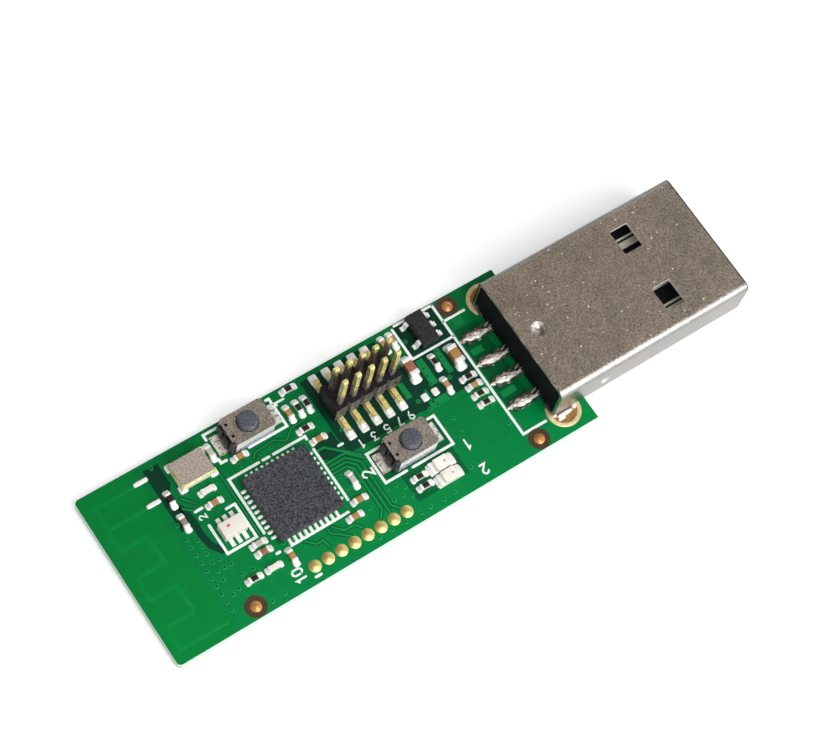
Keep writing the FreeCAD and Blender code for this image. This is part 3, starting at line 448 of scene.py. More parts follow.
def foot_metal(number):
    """Switch feet with painted reflections: tan and silver on the left, grey-green on the right, with near-white
    patches for painted highlights.
    """
    low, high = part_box("switch_%d_cover" % number)
    made = Finish("foot_%d" % number, 0.36, metallic=0.4)
    cloud = made.noise(0.3 * MM, 3.0, roughness=0.7)
    # Painted reflection: one tinned metal, tan on the left foot and grey-green on the right, with painted highlights in
    # near-white patches.
    left = made.mix(made.span(cloud, 0.38, 0.52), paint(150, 138, 106), paint(255, 252, 244))
    right = made.mix(made.span(cloud, 0.38, 0.52), paint(132, 150, 140), paint(250, 252, 248))
    middle = (low.x + high.x) / 2
    made.colour(made.mix(made.span(made.axis("X"), middle - MM, middle + MM), left, right))
    made.bump(cloud, 0.02 * MM)
    return made.material


def header_plastic():
    """The header's moulding: near black on top, with painted light that makes its near side a mottled grey."""
    parts = settings()[2]
    made = Finish("header_plastic", 0.5, specular=0.25)
    cloud = made.noise(0.25 * MM, 3.0, roughness=0.75)
    plain = made.mix(made.span(cloud, 0.4, 0.6), shaded(parts.header_black, 0.5), shaded(parts.header_black, 1.6))
    # Painted light: faces that look to the near side are a lighter, mottled grey.
    lit_near_side = made.mix(made.span(cloud, 0.42, 0.6), paint(44, 42, 42), paint(134, 130, 122))
    near = made.span(made.normal("Y"), -0.6, -0.3, 1.0, 0.0)
    made.colour(made.mix(near, plain, lit_near_side))
    made.bump(cloud, 0.02 * MM)
    return made.material


def contact_metal(number):
    """A formed contact: dark green to tan round its soldered tail, and a pale blade inside the plug with a painted
    shade line down it.
    """
    metal = settings()[1]
    low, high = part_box("plug_contact_%d" % number)
    made = Finish("contact_%d" % number, 0.35)
    grain = made.noise(0.16 * MM, 2.0)
    pale = made.mix(made.span(grain, 0.35, 0.65), shaded(metal.blade, 0.7), metal.blade)
    offset = made.maths("SUBTRACT", made.axis("Y"), (low.y + high.y) / 2 + 0.2 * MM)
    # Painted shade: a near-black line along the blade stands for the shade of a channel in it.
    groove_shade = made.span(made.maths("ABSOLUTE", offset), 0.07 * MM, 0.12 * MM, 1.0, 0.0)
    pale = made.mix(groove_shade, pale, (0.004, 0.004, 0.004))
    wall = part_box("plug_shell")[0].x + 0.3 * MM
    inside = made.span(made.axis("X"), wall, wall + 0.05 * MM)
    cloud = made.noise(0.3 * MM, 3.0, roughness=0.7)
    tail = made.mix(made.span(cloud, 0.45, 0.6), paint(16, 52, 38), paint(110, 96, 82))
    made.colour(made.mix(inside, tail, pale))
    return made.material


def make_finishes():
    """Every finish of the stick but the openings', by name."""
    board, metal, parts, _ = settings()
    FINISHES["mask"] = mask_finish("mask", board.mask, board.bare_mask)
    FINISHES["mask_dark"] = mask_finish("mask_dark", board.dark_mask)
    FINISHES["mask_gap"] = mask_finish("mask_gap", board.gap_mask)
    FINISHES["mask_line"] = mask_finish("mask_line", board.line_mask)
    FINISHES["mask_antenna"] = mask_finish("mask_antenna", shaded(board.bare_mask, 1.13), far=0.88, near=1.18)
    FINISHES["print"] = mottled("print", board.print_white, 0.04, 0.1 * MM, 0.003 * MM, 0.6)
    FINISHES["tin"] = mottled("tin", metal.tin, 0.06, 0.25 * MM, 0.004 * MM, 0.32, 0.1, metallic=0.2)
    FINISHES["gold"] = mottled("gold", metal.gold, 0.3, 0.3 * MM, 0.001 * MM, 0.3, 0.06, metallic=0.6)
    FINISHES["pad_gold"] = mottled("pad_gold", metal.pad_gold, 0.2, 0.2 * MM, 0.01 * MM, 0.34, 0.1, metallic=0.85)
    FINISHES["skirt"] = mottled("skirt", metal.skirt, 0.35, 0.3 * MM, 0.004 * MM, 0.45, metallic=0.3)
    FINISHES["tan_tin"] = streaked("tan_tin", paint(112, 92, 78), paint(226, 198, 178), 0.1)
    FINISHES["streaked_tin"] = streaked("streaked_tin", paint(150, 136, 126), paint(255, 253, 250), 0.1)
    FINISHES["bronze"] = mottled("bronze", paint(206, 146, 84), 0.25, 0.25 * MM, 0.004 * MM, 0.34, metallic=0.5)
    FINISHES["ring_gold"] = mottled("ring_gold", metal.ring_gold, 0.12, 0.3 * MM, 0.006 * MM, 0.4, metallic=0.6)
    for number in range(1, 5):
        FINISHES["contact_%d" % number] = contact_metal(number)
    FINISHES["stain"] = mottled("stain", metal.stain, 0.3, 0.25 * MM, 0.006 * MM, 0.4, 0.1, metallic=1.0)
    FINISHES["steel"] = plug_steel()
    FINISHES["plate"] = mottled("plate", metal.plate, 0.28, 0.15 * MM, 0.001 * MM, 0.38, 0.1, metallic=1.0)
    FINISHES["lid"] = lid_metal()
    FINISHES["near_pin"] = pin_gold("near_pin", True)
    FINISHES["far_pin"] = pin_gold("far_pin", False)
    FINISHES["cover"] = cover_metal()
    FINISHES["switch_white"] = switch_white()
    for number in (1, 2):
        FINISHES["foot_%d" % number] = foot_metal(number)
    FINISHES["header_plastic"] = header_plastic()
    FINISHES["chip"] = speckled("chip_resin", parts.black_resin, 0.55, specular=0.25)
    FINISHES["dark_resin"] = speckled("dark_resin", parts.dark_resin, 0.55, specular=0.25)
    FINISHES["plug_black"] = mottled("plug_black", parts.plug_black, 0.3, 0.15 * MM, 0.006 * MM, 0.7, 0.08, specular=0.1)
    FINISHES["white"] = mottled("white", parts.white_plastic, 0.03, 0.3 * MM, 0.003 * MM, 0.42, 0.06)
    FINISHES["button"] = speckled("button_plastic", parts.button, 0.36, dark=0.5, light=1.6)
    FINISHES["ceramic"] = mottled("ceramic", parts.ceramic, 0.04, 0.2 * MM, 0.003 * MM, 0.5, 0.08)
    FINISHES["glaze"] = mottled("glaze", parts.glaze, 0.3, 0.15 * MM, 0.002 * MM, 0.25, 0.06, coat=0.4)
    FINISHES["lens"] = mottled("lens", parts.lens, 0.08, 0.3 * MM, 0.002 * MM, 0.22, 0.05, coat=0.5)
    FINISHES["taupe"] = mottled("taupe", paint(150, 130, 112), 0.2, 0.1 * MM, 0.003 * MM, 0.45)
    FINISHES["tan"] = mottled("tan", paint(180, 142, 100), 0.2, 0.1 * MM, 0.003 * MM, 0.45)
    FINISHES["amber"] = mottled("amber", paint(176, 130, 76), 0.25, 0.1 * MM, 0.003 * MM, 0.42)
    FINISHES["brown"] = mottled("brown", paint(160, 100, 76), 0.2, 0.1 * MM, 0.003 * MM, 0.42)
    FINISHES["grey"] = mottled("grey", paint(188, 184, 176), 0.08, 0.1 * MM, 0.003 * MM, 0.48)
    FINISHES["coral"] = mottled("coral", paint(232, 92, 96), 0.1, 0.1 * MM, 0.002 * MM, 0.5)
    FINISHES["die"] = mottled("die", paint(206, 150, 138), 0.2, 0.1 * MM, 0.002 * MM, 0.5)


def dress(node, finish):
    """A modelled node that is shown as it is gets one of the finishes."""
    slots = NODES[node].material_slots
    for slot in slots:
        slot.material = FINISHES[finish]


def soften(node, limit=30.0):
    """Shade a modelled node smoothly over its rounded corners and leave its sharp edges sharp."""
    group = bpy.data.node_groups.new(node + "_soften", "GeometryNodeTree")
    group.interface.new_socket("Geometry", in_out="INPUT", socket_type="NodeSocketGeometry")
    group.interface.new_socket("Geometry", in_out="OUTPUT", socket_type="NodeSocketGeometry")
    nodes, links = group.nodes, group.links
    merge = nodes.new("GeometryNodeMergeByDistance")
    merge.inputs["Distance"].default_value = 0.001 * MM
    links.new(nodes.new("NodeGroupInput").outputs[0], merge.inputs["Geometry"])
    faces = nodes.new("GeometryNodeSetShadeSmooth")
    links.new(merge.outputs["Geometry"], faces.inputs["Geometry"])
    angle = nodes.new("FunctionNodeCompare")
    angle.operation = "LESS_THAN"
    links.new(nodes.new("GeometryNodeInputMeshEdgeAngle").outputs["Unsigned Angle"], angle.inputs["A"])
    angle.inputs["B"].default_value = math.radians(limit)
    edges = nodes.new("GeometryNodeSetShadeSmooth")
    edges.domain = "EDGE"
    links.new(faces.outputs["Geometry"], edges.inputs["Geometry"])
    links.new(angle.outputs["Result"], edges.inputs["Shade Smooth"])
    links.new(edges.outputs["Geometry"], nodes.new("NodeGroupOutput").inputs[0])
    modifier = NODES[node].modifiers.new("soften", "NODES")
    modifier.node_group = group


SMOOTH_LIMIT = math.radians(38)


def finished(name, mesh, finishes, body=STICK, stands_for=()):
    """Turn a mesh under construction into a piece that rides on a body."""
    bmesh.ops.recalc_face_normals(mesh, faces=mesh.faces)
    for face in mesh.faces:
        face.smooth = True
    for edge in mesh.edges:
        edge.smooth = edge.calc_face_angle(math.pi) < SMOOTH_LIMIT
    data = bpy.data.meshes.new(name)
    mesh.to_mesh(data)
    mesh.free()
    for finish in finishes:
        data.materials.append(FINISHES[finish])
    piece = bpy.data.objects.new(name, data)
    bpy.context.scene.collection.objects.link(piece)
    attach(piece, body)
    if stands_for:
        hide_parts(*stands_for)
    return piece


def solids_of(node):
    """The lowest and highest corner of each separate solid in a node."""
    data = NODES[node].data
    corner_of = {}
    same = []
    for vertex in data.vertices:
        key = tuple(round(c / (0.001 * MM)) for c in vertex.co)
        same.append(corner_of.setdefault(key, len(corner_of)))
    group = list(range(len(corner_of)))

    def root(index):
        while group[index] != index:
            group[index] = group[group[index]]
            index = group[index]
        return index

    for polygon in data.polygons:
        first = root(same[polygon.vertices[0]])
        for vertex in polygon.vertices[1:]:
            group[root(same[vertex])] = first
    boxes = {}
    for vertex in data.vertices:
        key = root(same[vertex.index])
        low, high = boxes.setdefault(key, (vertex.co.copy(), vertex.co.copy()))
        for axis in range(3):
            low[axis] = min(low[axis], vertex.co[axis])
            high[axis] = max(high[axis], vertex.co[axis])
    return sorted(boxes.values(), key=lambda pair: (round(pair[0].x, 6), round(pair[0].y, 6), round(pair[0].z, 6)))


def on_board(x, y):
    """A place on the board, from millimetres along and across it from its near corner at the antenna."""
    return BOARD_LOW.x + x * MM, BOARD_LOW.y + y * MM


def block(mesh, low, high, slot=0, edge=0.0, steps=2):
    """A box between two corners with its edges rounded."""
    low, high = Vector(low), Vector(high)
    size = high - low
    place = Matrix.Translation((low + high) / 2) @ Matrix.Diagonal((*size, 1.0))
    made = bmesh.ops.create_cube(mesh, size=1.0, matrix=place)
    faces = {f for v in made["verts"] for f in v.link_faces}
    for face in faces:
        face.material_index = slot
    if edge > 0:
        edges = list({e for v in made["verts"] for e in v.link_edges})
        reach = min(edge, 0.45 * min(size))
        bmesh.ops.bevel(mesh, geom=edges, offset=reach, segments=steps, profile=0.5, affect="EDGES",
                        clamp_overlap=True, material=slot)


def lathe(mesh, profile, centre, sides=48, slot=0, squash=1.0):
    """A turned form: (radius, height) pairs from the axis below to the axis above."""
    x, y = centre
    rings = []
    for radius, height in profile:
        if radius < 1e-9:
            rings.append([mesh.verts.new((x, y, height))])
        else:
            turns = [2 * math.pi * k / sides for k in range(sides)]
            rings.append([mesh.verts.new((x + radius * math.cos(a), y + squash * radius * math.sin(a), height))
                          for a in turns])
    for lower, upper in zip(rings, rings[1:]):
        for k in range(sides):
            following = (k + 1) % sides
            corners = [lower[k % len(lower)], lower[following % len(lower)],
                       upper[following % len(upper)], upper[k % len(upper)]]
            face = mesh.faces.new(list(dict.fromkeys(corners)))
            face.material_index = slot


def sheet_between(mesh, rows, slot=0):
    """A skin over rows of points with a closed underside along its rim."""
    count = len(rows[0])
    for lower, upper in zip(rows, rows[1:]):
        for k in range(count - 1):
            face = mesh.faces.new((lower[k], lower[k + 1], upper[k + 1], upper[k]))
            face.material_index = slot


def mound(mesh, x, y, z, turn, inward, reach, width, height, toe, slot=0, across=9, along=8, bow=2.2):
    """Solder that climbs height up a face at x, y and runs out reach along the direction turn.

    It starts inward behind the face, is width across, and is toe thick where it ends.
    """
    rows = []
    cosine, sine = math.cos(turn), math.sin(turn)

    def point(out, side, rise):
        return mesh.verts.new((x + out * cosine - side * sine, y + out * sine + side * cosine, z + rise))

    for i in range(along + 1):
        share = i / along
        out = reach * share if i else -inward
        half = width / 2 * (1 - share ** 5) ** 0.3 if i < along else width * 0.22
        top = toe + (height - toe) * (1 - share) ** bow
        rim = toe * 0.5
        row = [point(out, -half, 0.0)]
        for k in range(across):
            side = 2 * k / (across - 1) - 1
            crown = (1 - abs(side) ** 3.2) * (1 if i < along else 0.35)
            row.append(point(out, side * half * (1 - 0.04 * (1 - abs(side))), rim + (top - rim) * crown))
        row.append(point(out, half, 0.0))
        rows.append(row)
    sheet_between(mesh, rows, slot)
    underside = [row[0] for row in rows] + [row[-1] for row in reversed(rows)]
    mesh.faces.new(rows[0]).material_index = slot
    mesh.faces.new(rows[-1]).material_index = slot
    mesh.faces.new(underside).material_index = slot


def plate(mesh, low, high, rise, slot=0, steps=10, round_power=5.0, crown_power=5.0):
    """A flat land with rounded corners and a softly domed top."""
    centre_x, centre_y = (low.x + high.x) / 2, (low.y + high.y) / 2
    half_x, half_y = (high.x - low.x) / 2, (high.y - low.y) / 2
    sides = 4 * steps
    rings = []
    for share, lift in ((1.0, 0.0), (1.0, 0.35), (0.94, 0.7), (0.8, 0.92), (0.45, 1.0)):
        ring = []
        for k in range(sides):
            angle = 2 * math.pi * k / sides
            cosine, sine = math.cos(angle), math.sin(angle)
            scale = (abs(cosine) ** round_power + abs(sine) ** round_power) ** (-1 / round_power)
            inset = (1 - share) * min(half_x, half_y)
            ring.append(mesh.verts.new((centre_x + cosine * scale * (half_x - inset),
                                        centre_y + sine * scale * (half_y - inset), low.z + rise * lift)))
        rings.append(ring)
    for lower, upper in zip(rings, rings[1:]):
        for k in range(sides):
            following = (k + 1) % sides
            mesh.faces.new((lower[k], lower[following], upper[following], upper[k])).material_index = slot
    mesh.faces.new(rings[0]).material_index = slot
    mesh.faces.new(rings[-1]).material_index = slot


ROUND_END = (0.0, 30.0, 60.0, 90.0)


def ribbon(mesh, points, width, z, rise, slot=0, closed=False, square=False):
    """A low printed or plated line through points, with mitred turns and round or square ends."""
    points = [Vector((*p, 0.0)) if len(p) == 2 else Vector(p) for p in points]
    count = len(points)
    stations = []
    for index, point in enumerate(points):
        before = points[index - 1] if closed or index else None
        after = points[(index + 1) % count] if closed or index < count - 1 else None
        into = (point - before).normalized() if before is not None else (after - point).normalized()
        out = (after - point).normalized() if after is not None else into
        heading = (into + out).normalized()
        side = Vector((-heading.y, heading.x, 0.0))
        stretch = 1 / max(0.4, heading.dot(out))
        stations.append((point, side, width / 2 * stretch))
    if not closed and not square:
        head, side, _ = stations[0]
        back = (points[0] - points[1]).normalized()
        start = [(head + back * (width / 2 * math.cos(math.radians(a))), side, width / 2 * math.sin(math.radians(a)))
                 for a in ROUND_END[1:-1]]
        tail, side, _ = stations[-1]
        forth = (points[-1] - points[-2]).normalized()
        end = [(tail + forth * (width / 2 * math.cos(math.radians(a))), side, width / 2 * math.sin(math.radians(a)))
               for a in reversed(ROUND_END[1:-1])]
        stations = start + stations + end
    shoulder = 0.3
    rows = []
    for point, side, half in stations:
        row = []
        for share, lift in ((-1.0, 0.0), (-1.0 + shoulder, 1.0), (1.0 - shoulder, 1.0), (1.0, 0.0)):
            place = point + side * half * share
            row.append(mesh.verts.new((place.x, place.y, z + rise * lift)))
        rows.append(row)
    pairs = list(zip(rows, rows[1:]))
    if closed:
        pairs.append((rows[-1], rows[0]))
    for lower, upper in pairs:
        for k in range(4):
            following = (k + 1) % 4
            face = mesh.faces.new((lower[k], lower[following], upper[following], upper[k]))
            face.material_index = slot
    if not closed:
        mesh.faces.new(rows[0]).material_index = slot
        mesh.faces.new(rows[-1]).material_index = slot


def slab(mesh, outline, z, rise, slot=0):
    """A thin flat area inside an outline."""
    low = [mesh.verts.new((*p, z)) for p in outline]
    high = [mesh.verts.new((*p, z + rise)) for p in outline]
    count = len(outline)
    mesh.faces.new(low).material_index = slot
    mesh.faces.new(high).material_index = slot
    for k in range(count):
        following = (k + 1) % count
        mesh.faces.new((low[k], low[following], high[following], high[k])).material_index = slot


# Millimetres along and across the board, from its near corner at the antenna.
ANTENNA_LINE = ((5.3, 14.5), (1.05, 14.5), (1.05, 10.35), (3.45, 10.35), (3.45, 7.85), (0.95, 7.85), (0.95, 5.73),
                (3.3, 5.73), (3.3, 3.25), (0.85, 3.25), (0.85, 1.15), (5.0, 1.15))
ANTENNA_FEED = ((5.3, 12.4), (1.05, 12.4))
COPPER_LINES = (
    ((18.95, 8.2), (20.8, 8.2), (22.0, 7.0)),
    ((18.95, 7.86), (20.6, 7.86), (21.55, 6.9), (21.55, 2.5), (21.95, 2.0), (22.2, 1.7)),
    ((18.95, 7.52), (20.45, 7.52), (21.12, 6.85), (21.12, 1.9)),
    ((18.95, 7.18), (20.25, 7.18), (20.7, 6.7), (20.7, 2.6), (20.2, 2.0)),
    ((19.0, 9.5), (19.6, 9.5), (21.9, 7.4)),
    ((13.86, 3.57), (14.6, 2.85), (15.2, 2.85), (15.35, 2.1)),
    ((16.0, 3.43), (16.0, 3.07), (16.86, 2.36), (17.3, 2.0)),
    ((16.4, 3.43), (17.1, 2.7), (18.1, 2.64), (18.5, 2.1)),
    ((14.2, 11.57), (14.57, 12.0), (16.43, 12.14), (17.3, 11.57), (18.3, 12.3), (19.7, 12.36)),
    ((11.15, 12.57), (11.15, 6.0)),
    ((7.07, 10.86), (7.7, 10.3)),
    ((7.36, 11.7), (8.2, 10.7)),
    ((21.6, 10.0), (22.3, 10.8)),
    ((29.6, 9.4), (29.6, 8.2)),
)
# Areas of darker mask where the copper is cleared; the third, round the header, is painted shade of its pins.
DARK_AREAS = (
    ((5.95, 15.2), (7.35, 15.2), (7.35, 13.2), (6.95, 12.6), (6.95, 9.2), (5.95, 9.2)),
    ((18.95, 10.4), (20.9, 10.4), (20.9, 7.6), (18.95, 8.6)),
    ((21.0, 8.0), (28.4, 8.0), (28.4, 15.3), (21.0, 15.3)),
    ((28.4, 7.9), (34.3, 7.9), (34.3, 12.2), (28.4, 12.2)),
    ((30.4, 12.4), (34.3, 12.4), (34.3, 15.6), (30.4, 15.6)),
)
MID_AREAS = (
    ((34.7, 4.2), (37.0, 4.2), (37.0, 12.6), (34.7, 12.6)),
    ((23.6, 1.55), (28.7, 1.55), (28.7, 4.2), (23.6, 4.2)),
    ((22.36, 4.44), (28.81, 4.44), (28.81, 7.08), (22.36, 7.08)),
)
DARK_CURVE = ((6.95, 11.0), (7.2, 9.8), (7.15, 8.2), (7.35, 7.1), (7.9, 6.3))
DARK_CURVE_WIDTH = 0.6
GREEN_ISLANDS = (
    ((27.85, 9.5), (28.35, 9.5), (28.35, 11.0), (27.85, 11.0)),
    ((29.2, 7.7), (31.0, 7.7), (31.0, 8.4), (29.2, 8.4)),
    ((30.3, 9.5), (31.0, 9.5), (31.0, 12.0), (30.3, 12.0)),
    ((32.2, 9.7), (32.7, 9.7), (32.7, 12.1), (32.2, 12.1)),
    ((34.9, 5.5), (36.3, 5.5), (36.3, 6.1), (34.9, 6.1)),
    ((34.9, 9.9), (36.0, 9.9), (36.0, 10.5), (34.9, 10.5)),
    ((35.1, 12.8), (36.0, 12.8), (36.0, 13.6), (35.1, 13.6)),
)
VIA_ROW_X, VIA_ROW_Y, VIA_ROW_PITCH, VIA_ROW_COUNT = 5.9, 1.75, 0.75, 10
VIAS = (
    (6.65, 8.02), (6.65, 7.4), (6.65, 6.68), (6.65, 5.85), (6.65, 5.02), (6.65, 4.18), (6.65, 2.77),
    (7.3, 5.82), (7.3, 5.02), (7.3, 2.93), (7.87, 4.98), (8.2, 3.8), (9.1, 3.75), (9.0, 0.7), (10.2, 0.75),
    (19.2, 0.71), (20.45, 0.75), (21.75, 0.7), (23.3, 0.7), (24.2, 0.72), (25.5, 0.7), (26.6, 0.75),
    (22.0, 3.8), (22.8, 3.75), (23.4, 3.2), (22.0, 2.75), (22.8, 2.7), (23.5, 2.3),
    (30.2, 6.2), (30.25, 5.0), (29.0, 7.85), (29.8, 7.85), (29.0, 1.85), (29.9, 1.85),
    (19.3, 6.7), (20.4, 6.7), (19.3, 5.6), (20.4, 5.6), (33.95, 3.45), (33.9, 5.6),
    (30.65, 13.95), (30.6, 11.1), (30.5, 10.4), (30.35, 9.65), (32.4, 11.9), (32.4, 11.3), (32.45, 9.9),
    (28.55, 8.9), (32.05, 9.35), (12.9, 11.65), (14.95, 11.65), (16.0, 11.7), (5.95, 9.9), (6.7, 15.1),
    (19.0, 3.3), (19.9, 3.2), (13.5, 4.4), (12.35, 4.35),
)


def to_board(points):
    return [on_board(x, y) for x, y in points]


class STICK_OT_board(bpy.types.Operator):
    """Green mask, laminate edge, covered copper lines, cleared areas, painted shade of the pins round the header, and
    the folded antenna
    """

    bl_idname = "stick.board"
    bl_label = "Board"

    def execute(self, context):
        board = context.scene.stick_board
        dress("circuit_board", "mask")
        flat = board.line_rise * 0.4
        areas = bmesh.new()
        # Cleared areas, and painted shade of the pins round the header.
        for index, outline in enumerate(DARK_AREAS):
            slab(areas, to_board(outline), BOARD_TOP, flat * (1 - 0.06 * index))
        ribbon(areas, to_board(DARK_CURVE), DARK_CURVE_WIDTH * MM, BOARD_TOP, flat)
        finished("board_clearances_and_header_shade", areas, ["mask_dark"])
        gaps = bmesh.new()
        for index, outline in enumerate(MID_AREAS):
            slab(gaps, to_board(outline), BOARD_TOP, flat * (0.7 - 0.06 * index))
        for index, line in enumerate(COPPER_LINES):
            ribbon(gaps, to_board(line), board.line_width * 2.3, BOARD_TOP, flat * (1.1 + 0.04 * index))
        finished("board_line_gaps", gaps, ["mask_gap"])
        copper = bmesh.new()
        for line in COPPER_LINES:
            ribbon(copper, to_board(line), board.line_width, BOARD_TOP, board.line_rise)
        for outline in GREEN_ISLANDS:
            slab(copper, to_board(outline), BOARD_TOP, board.line_rise)
        finished("board_copper_lines", copper, ["mask_line"])
        antenna = bmesh.new()
        ribbon(antenna, to_board(ANTENNA_LINE), board.antenna_width, BOARD_TOP, board.line_rise)
        ribbon(antenna, to_board(ANTENNA_FEED), board.antenna_width, BOARD_TOP, board.line_rise * 0.9)
        finished("board_antenna", antenna, ["mask_antenna"])
        return {"FINISHED"}


class STICK_OT_vias(bpy.types.Operator):
    """Through holes covered by the mask: a raised ring round a shallow dip"""

    bl_idname = "stick.vias"
    bl_label = "Vias"

    def execute(self, context):
        board = context.scene.stick_board
        radius = board.via_width / 2
        rise = board.line_rise * 2.4
        rim = ((0.0, BOARD_TOP), (radius, BOARD_TOP), (radius * 0.86, BOARD_TOP + rise * 0.7),
               (radius * 0.62, BOARD_TOP + rise), (radius * 0.4, BOARD_TOP + rise * 0.6),
               (0.0, BOARD_TOP + rise * 0.5))
        dip = ((0.0, BOARD_TOP), (radius * 0.4, BOARD_TOP), (radius * 0.4, BOARD_TOP + rise * 0.7),
               (0.0, BOARD_TOP + rise * 0.66))
        mesh = bmesh.new()
        places = list(VIAS) + [(VIA_ROW_X, VIA_ROW_Y + k * VIA_ROW_PITCH) for k in range(VIA_ROW_COUNT)]
        for x, y in places:
            lathe(mesh, rim, on_board(x, y), sides=16)
            lathe(mesh, dip, on_board(x, y), sides=10, slot=1)
        finished("board_vias", mesh, ["mask_line", "mask_dark"])
        return {"FINISHED"}


# Printed lines, in millimetres on the board.
PRINT_LINES = (
    ((8.1, 8.6), (8.1, 5.84), (10.82, 5.84), (10.82, 9.1), (10.0, 9.1)),
    ((15.75, 11.1), (18.8, 11.1), (18.8, 10.8)),
    ((14.35, 11.1), (11.5, 11.1), (11.5, 5.8)),
    ((14.75, 11.1), (15.35, 11.1)),
    ((18.8, 9.8), (18.8, 4.7)),
    ((12.8, 3.8), (18.25, 3.8)),
    ((11.42, 3.83), (11.72, 3.83)),
    ((11.75, 14.9), (11.75, 15.4), (13.6, 15.4)),
    ((17.75, 15.4), (18.05, 15.4), (18.05, 12.62), (14.4, 12.62)),
    ((11.75, 13.0), (11.75, 12.62), (12.25, 12.62)),
    ((24.3, 4.32), (22.24, 4.32), (22.24, 7.2), (23.7, 7.2)),
    ((24.9, 4.32), (28.93, 4.32), (28.93, 7.2), (28.3, 7.2)),
    ((30.28, 15.4), (30.28, 12.3), (34.45, 12.3)),
    ((34.45, 15.6), (34.45, 2.0), (36.75, 2.0)),
    ((30.6, 15.6), (34.45, 15.6)),
    ((34.45, 13.85), (36.6, 13.85)),
    ((13.02, 0.57), (13.52, 0.57)),
    ((20.7, 9.0), (21.1, 9.0)),
    ((7.75, 10.15), (8.4, 10.15)),
)

# Each plain number: text, place of its middle, height, turn in degrees.
PRINT_NUMBERS = (
    ("1", (18.6, 14.75), 0.95, 90),
    ("2", (21.45, 5.75), 0.95, 90),
    ("1", (29.9, 3.7), 0.85, 180),
    ("2", (29.9, 1.15), 0.85, 180),
    ("10", (11.95, 1.35), 0.85, 90),
    ("2", (8.05, 9.45), 0.6, 90),
    ("1", (22.45, 8.2), 0.7, 180),
    ("3", (23.72, 8.2), 0.7, 180),
    ("5", (24.99, 8.2), 0.7, 180),
    ("7", (26.26, 8.2), 0.7, 180),
    ("9", (27.35, 8.2), 0.7, 180),
)

DIGIT_WIDTH = 0.56
DIGIT_STEP = 0.8
DIGIT_STROKE = 0.2
# The strokes of each number in a box one high and DIGIT_WIDTH wide.
DIGITS = {
    "0": (((0.0, 0.2), (0.0, 0.8), (0.18, 1.0), (0.38, 1.0), (0.56, 0.8), (0.56, 0.2), (0.38, 0.0), (0.18, 0.0),
           (0.0, 0.2)),),
    "1": (((0.1, 0.8), (0.32, 1.0), (0.32, 0.0)),),
    "2": (((0.0, 0.82), (0.18, 1.0), (0.38, 1.0), (0.56, 0.82), (0.56, 0.62), (0.0, 0.0), (0.56, 0.0)),),
    "3": (((0.0, 1.0), (0.54, 1.0), (0.26, 0.58), (0.4, 0.56), (0.56, 0.4), (0.56, 0.18), (0.38, 0.0), (0.16, 0.0),
           (0.0, 0.14)),),
    "5": (((0.54, 1.0), (0.04, 1.0), (0.0, 0.55), (0.36, 0.6), (0.56, 0.42), (0.56, 0.18), (0.38, 0.0), (0.16, 0.0),
           (0.0, 0.14)),),
    "7": (((0.0, 1.0), (0.56, 1.0), (0.2, 0.0)),),
    "9": (((0.54, 0.55), (0.2, 0.5), (0.0, 0.66), (0.0, 0.84), (0.18, 1.0), (0.38, 1.0), (0.56, 0.84), (0.56, 0.45),
           (0.3, 0.0)),),
}


def print_number(mesh, text, place, height, turn, rise):
    x, y = on_board(*place)
    angle = math.radians(turn)
    total = (DIGIT_STEP * (len(text) - 1) + DIGIT_WIDTH) * height
    for index, digit in enumerate(text):
        for stroke in DIGITS[digit]:
            points = []
            for across, up in stroke:
                right = (across + DIGIT_STEP * index) * height - total / 2
                above = (up - 0.5) * height
                points.append((x + (right * math.cos(angle) - above * math.sin(angle)) * MM,
                               y + (right * math.sin(angle) + above * math.cos(angle)) * MM))
            ribbon(mesh, points, DIGIT_STROKE * height * MM, BOARD_TOP, rise)


class STICK_OT_print(bpy.types.Operator):
    """White printed outlines round the parts, with plain numbers"""

    bl_idname = "stick.print_lines"
    bl_label = "Print"

    def execute(self, context):
        board = context.scene.stick_board
        mesh = bmesh.new()
        for line in PRINT_LINES:
            ribbon(mesh, to_board(line), board.print_width, BOARD_TOP, board.print_rise)
        for text, place, height, turn in PRINT_NUMBERS:
            print_number(mesh, text, place, height, turn, board.print_rise)
        finished("board_print", mesh, ["print"])
        return {"FINISHED"}


# Each node of chip parts: its kind, the finish of its middle, and its slot in the record.
SMALL_NODES = (
    ("antenna_inductor", "plain", "glaze", "resistor_black"),
    ("antenna_capacitor", "plain", "taupe", "capacitor_tan"),
    ("matching_inductor_1", "plain", "ceramic", "pale_ceramic"),
    ("matching_inductor_2", "plain", "ceramic", "pale_ceramic"),
    ("matching_capacitor_1", "plain", "amber", "capacitor_tan"),
    ("matching_capacitor_2", "plain", "grey", "capacitor_grey"),
    ("matching_capacitor_3", "plain", "brown", "capacitor_tan"),
    ("bias_resistor", "resistor", "glaze", "resistor_black"),
    ("crystal_capacitor", "plain", "grey", "capacitor_grey"),
    ("ferrite_bead", "plain", "grey", "capacitor_grey"),
    ("line_capacitor", "plain", "tan", "capacitor_tan"),
    ("bypass_capacitor_1", "plain", "brown", "capacitor_brown"),
    ("bypass_capacitor_2", "plain", "amber", "capacitor_brown"),
    ("series_resistors", "resistor", "glaze", "resistor_black"),
    ("led_resistors", "resistor", "glaze", "resistor_black"),
    ("pull_up_resistors", "resistor", "glaze", "resistor_black"),
    ("decoupling_capacitors", "plain", "amber", "capacitor_tan"),
    ("supply_capacitors", "plain", "tan", "capacitor_tan"),
)
GLAZE_SHARE = 0.12
END_SHARE = 0.23


def runs_along_x(low, high):
    return high.x - low.x > high.y - low.y


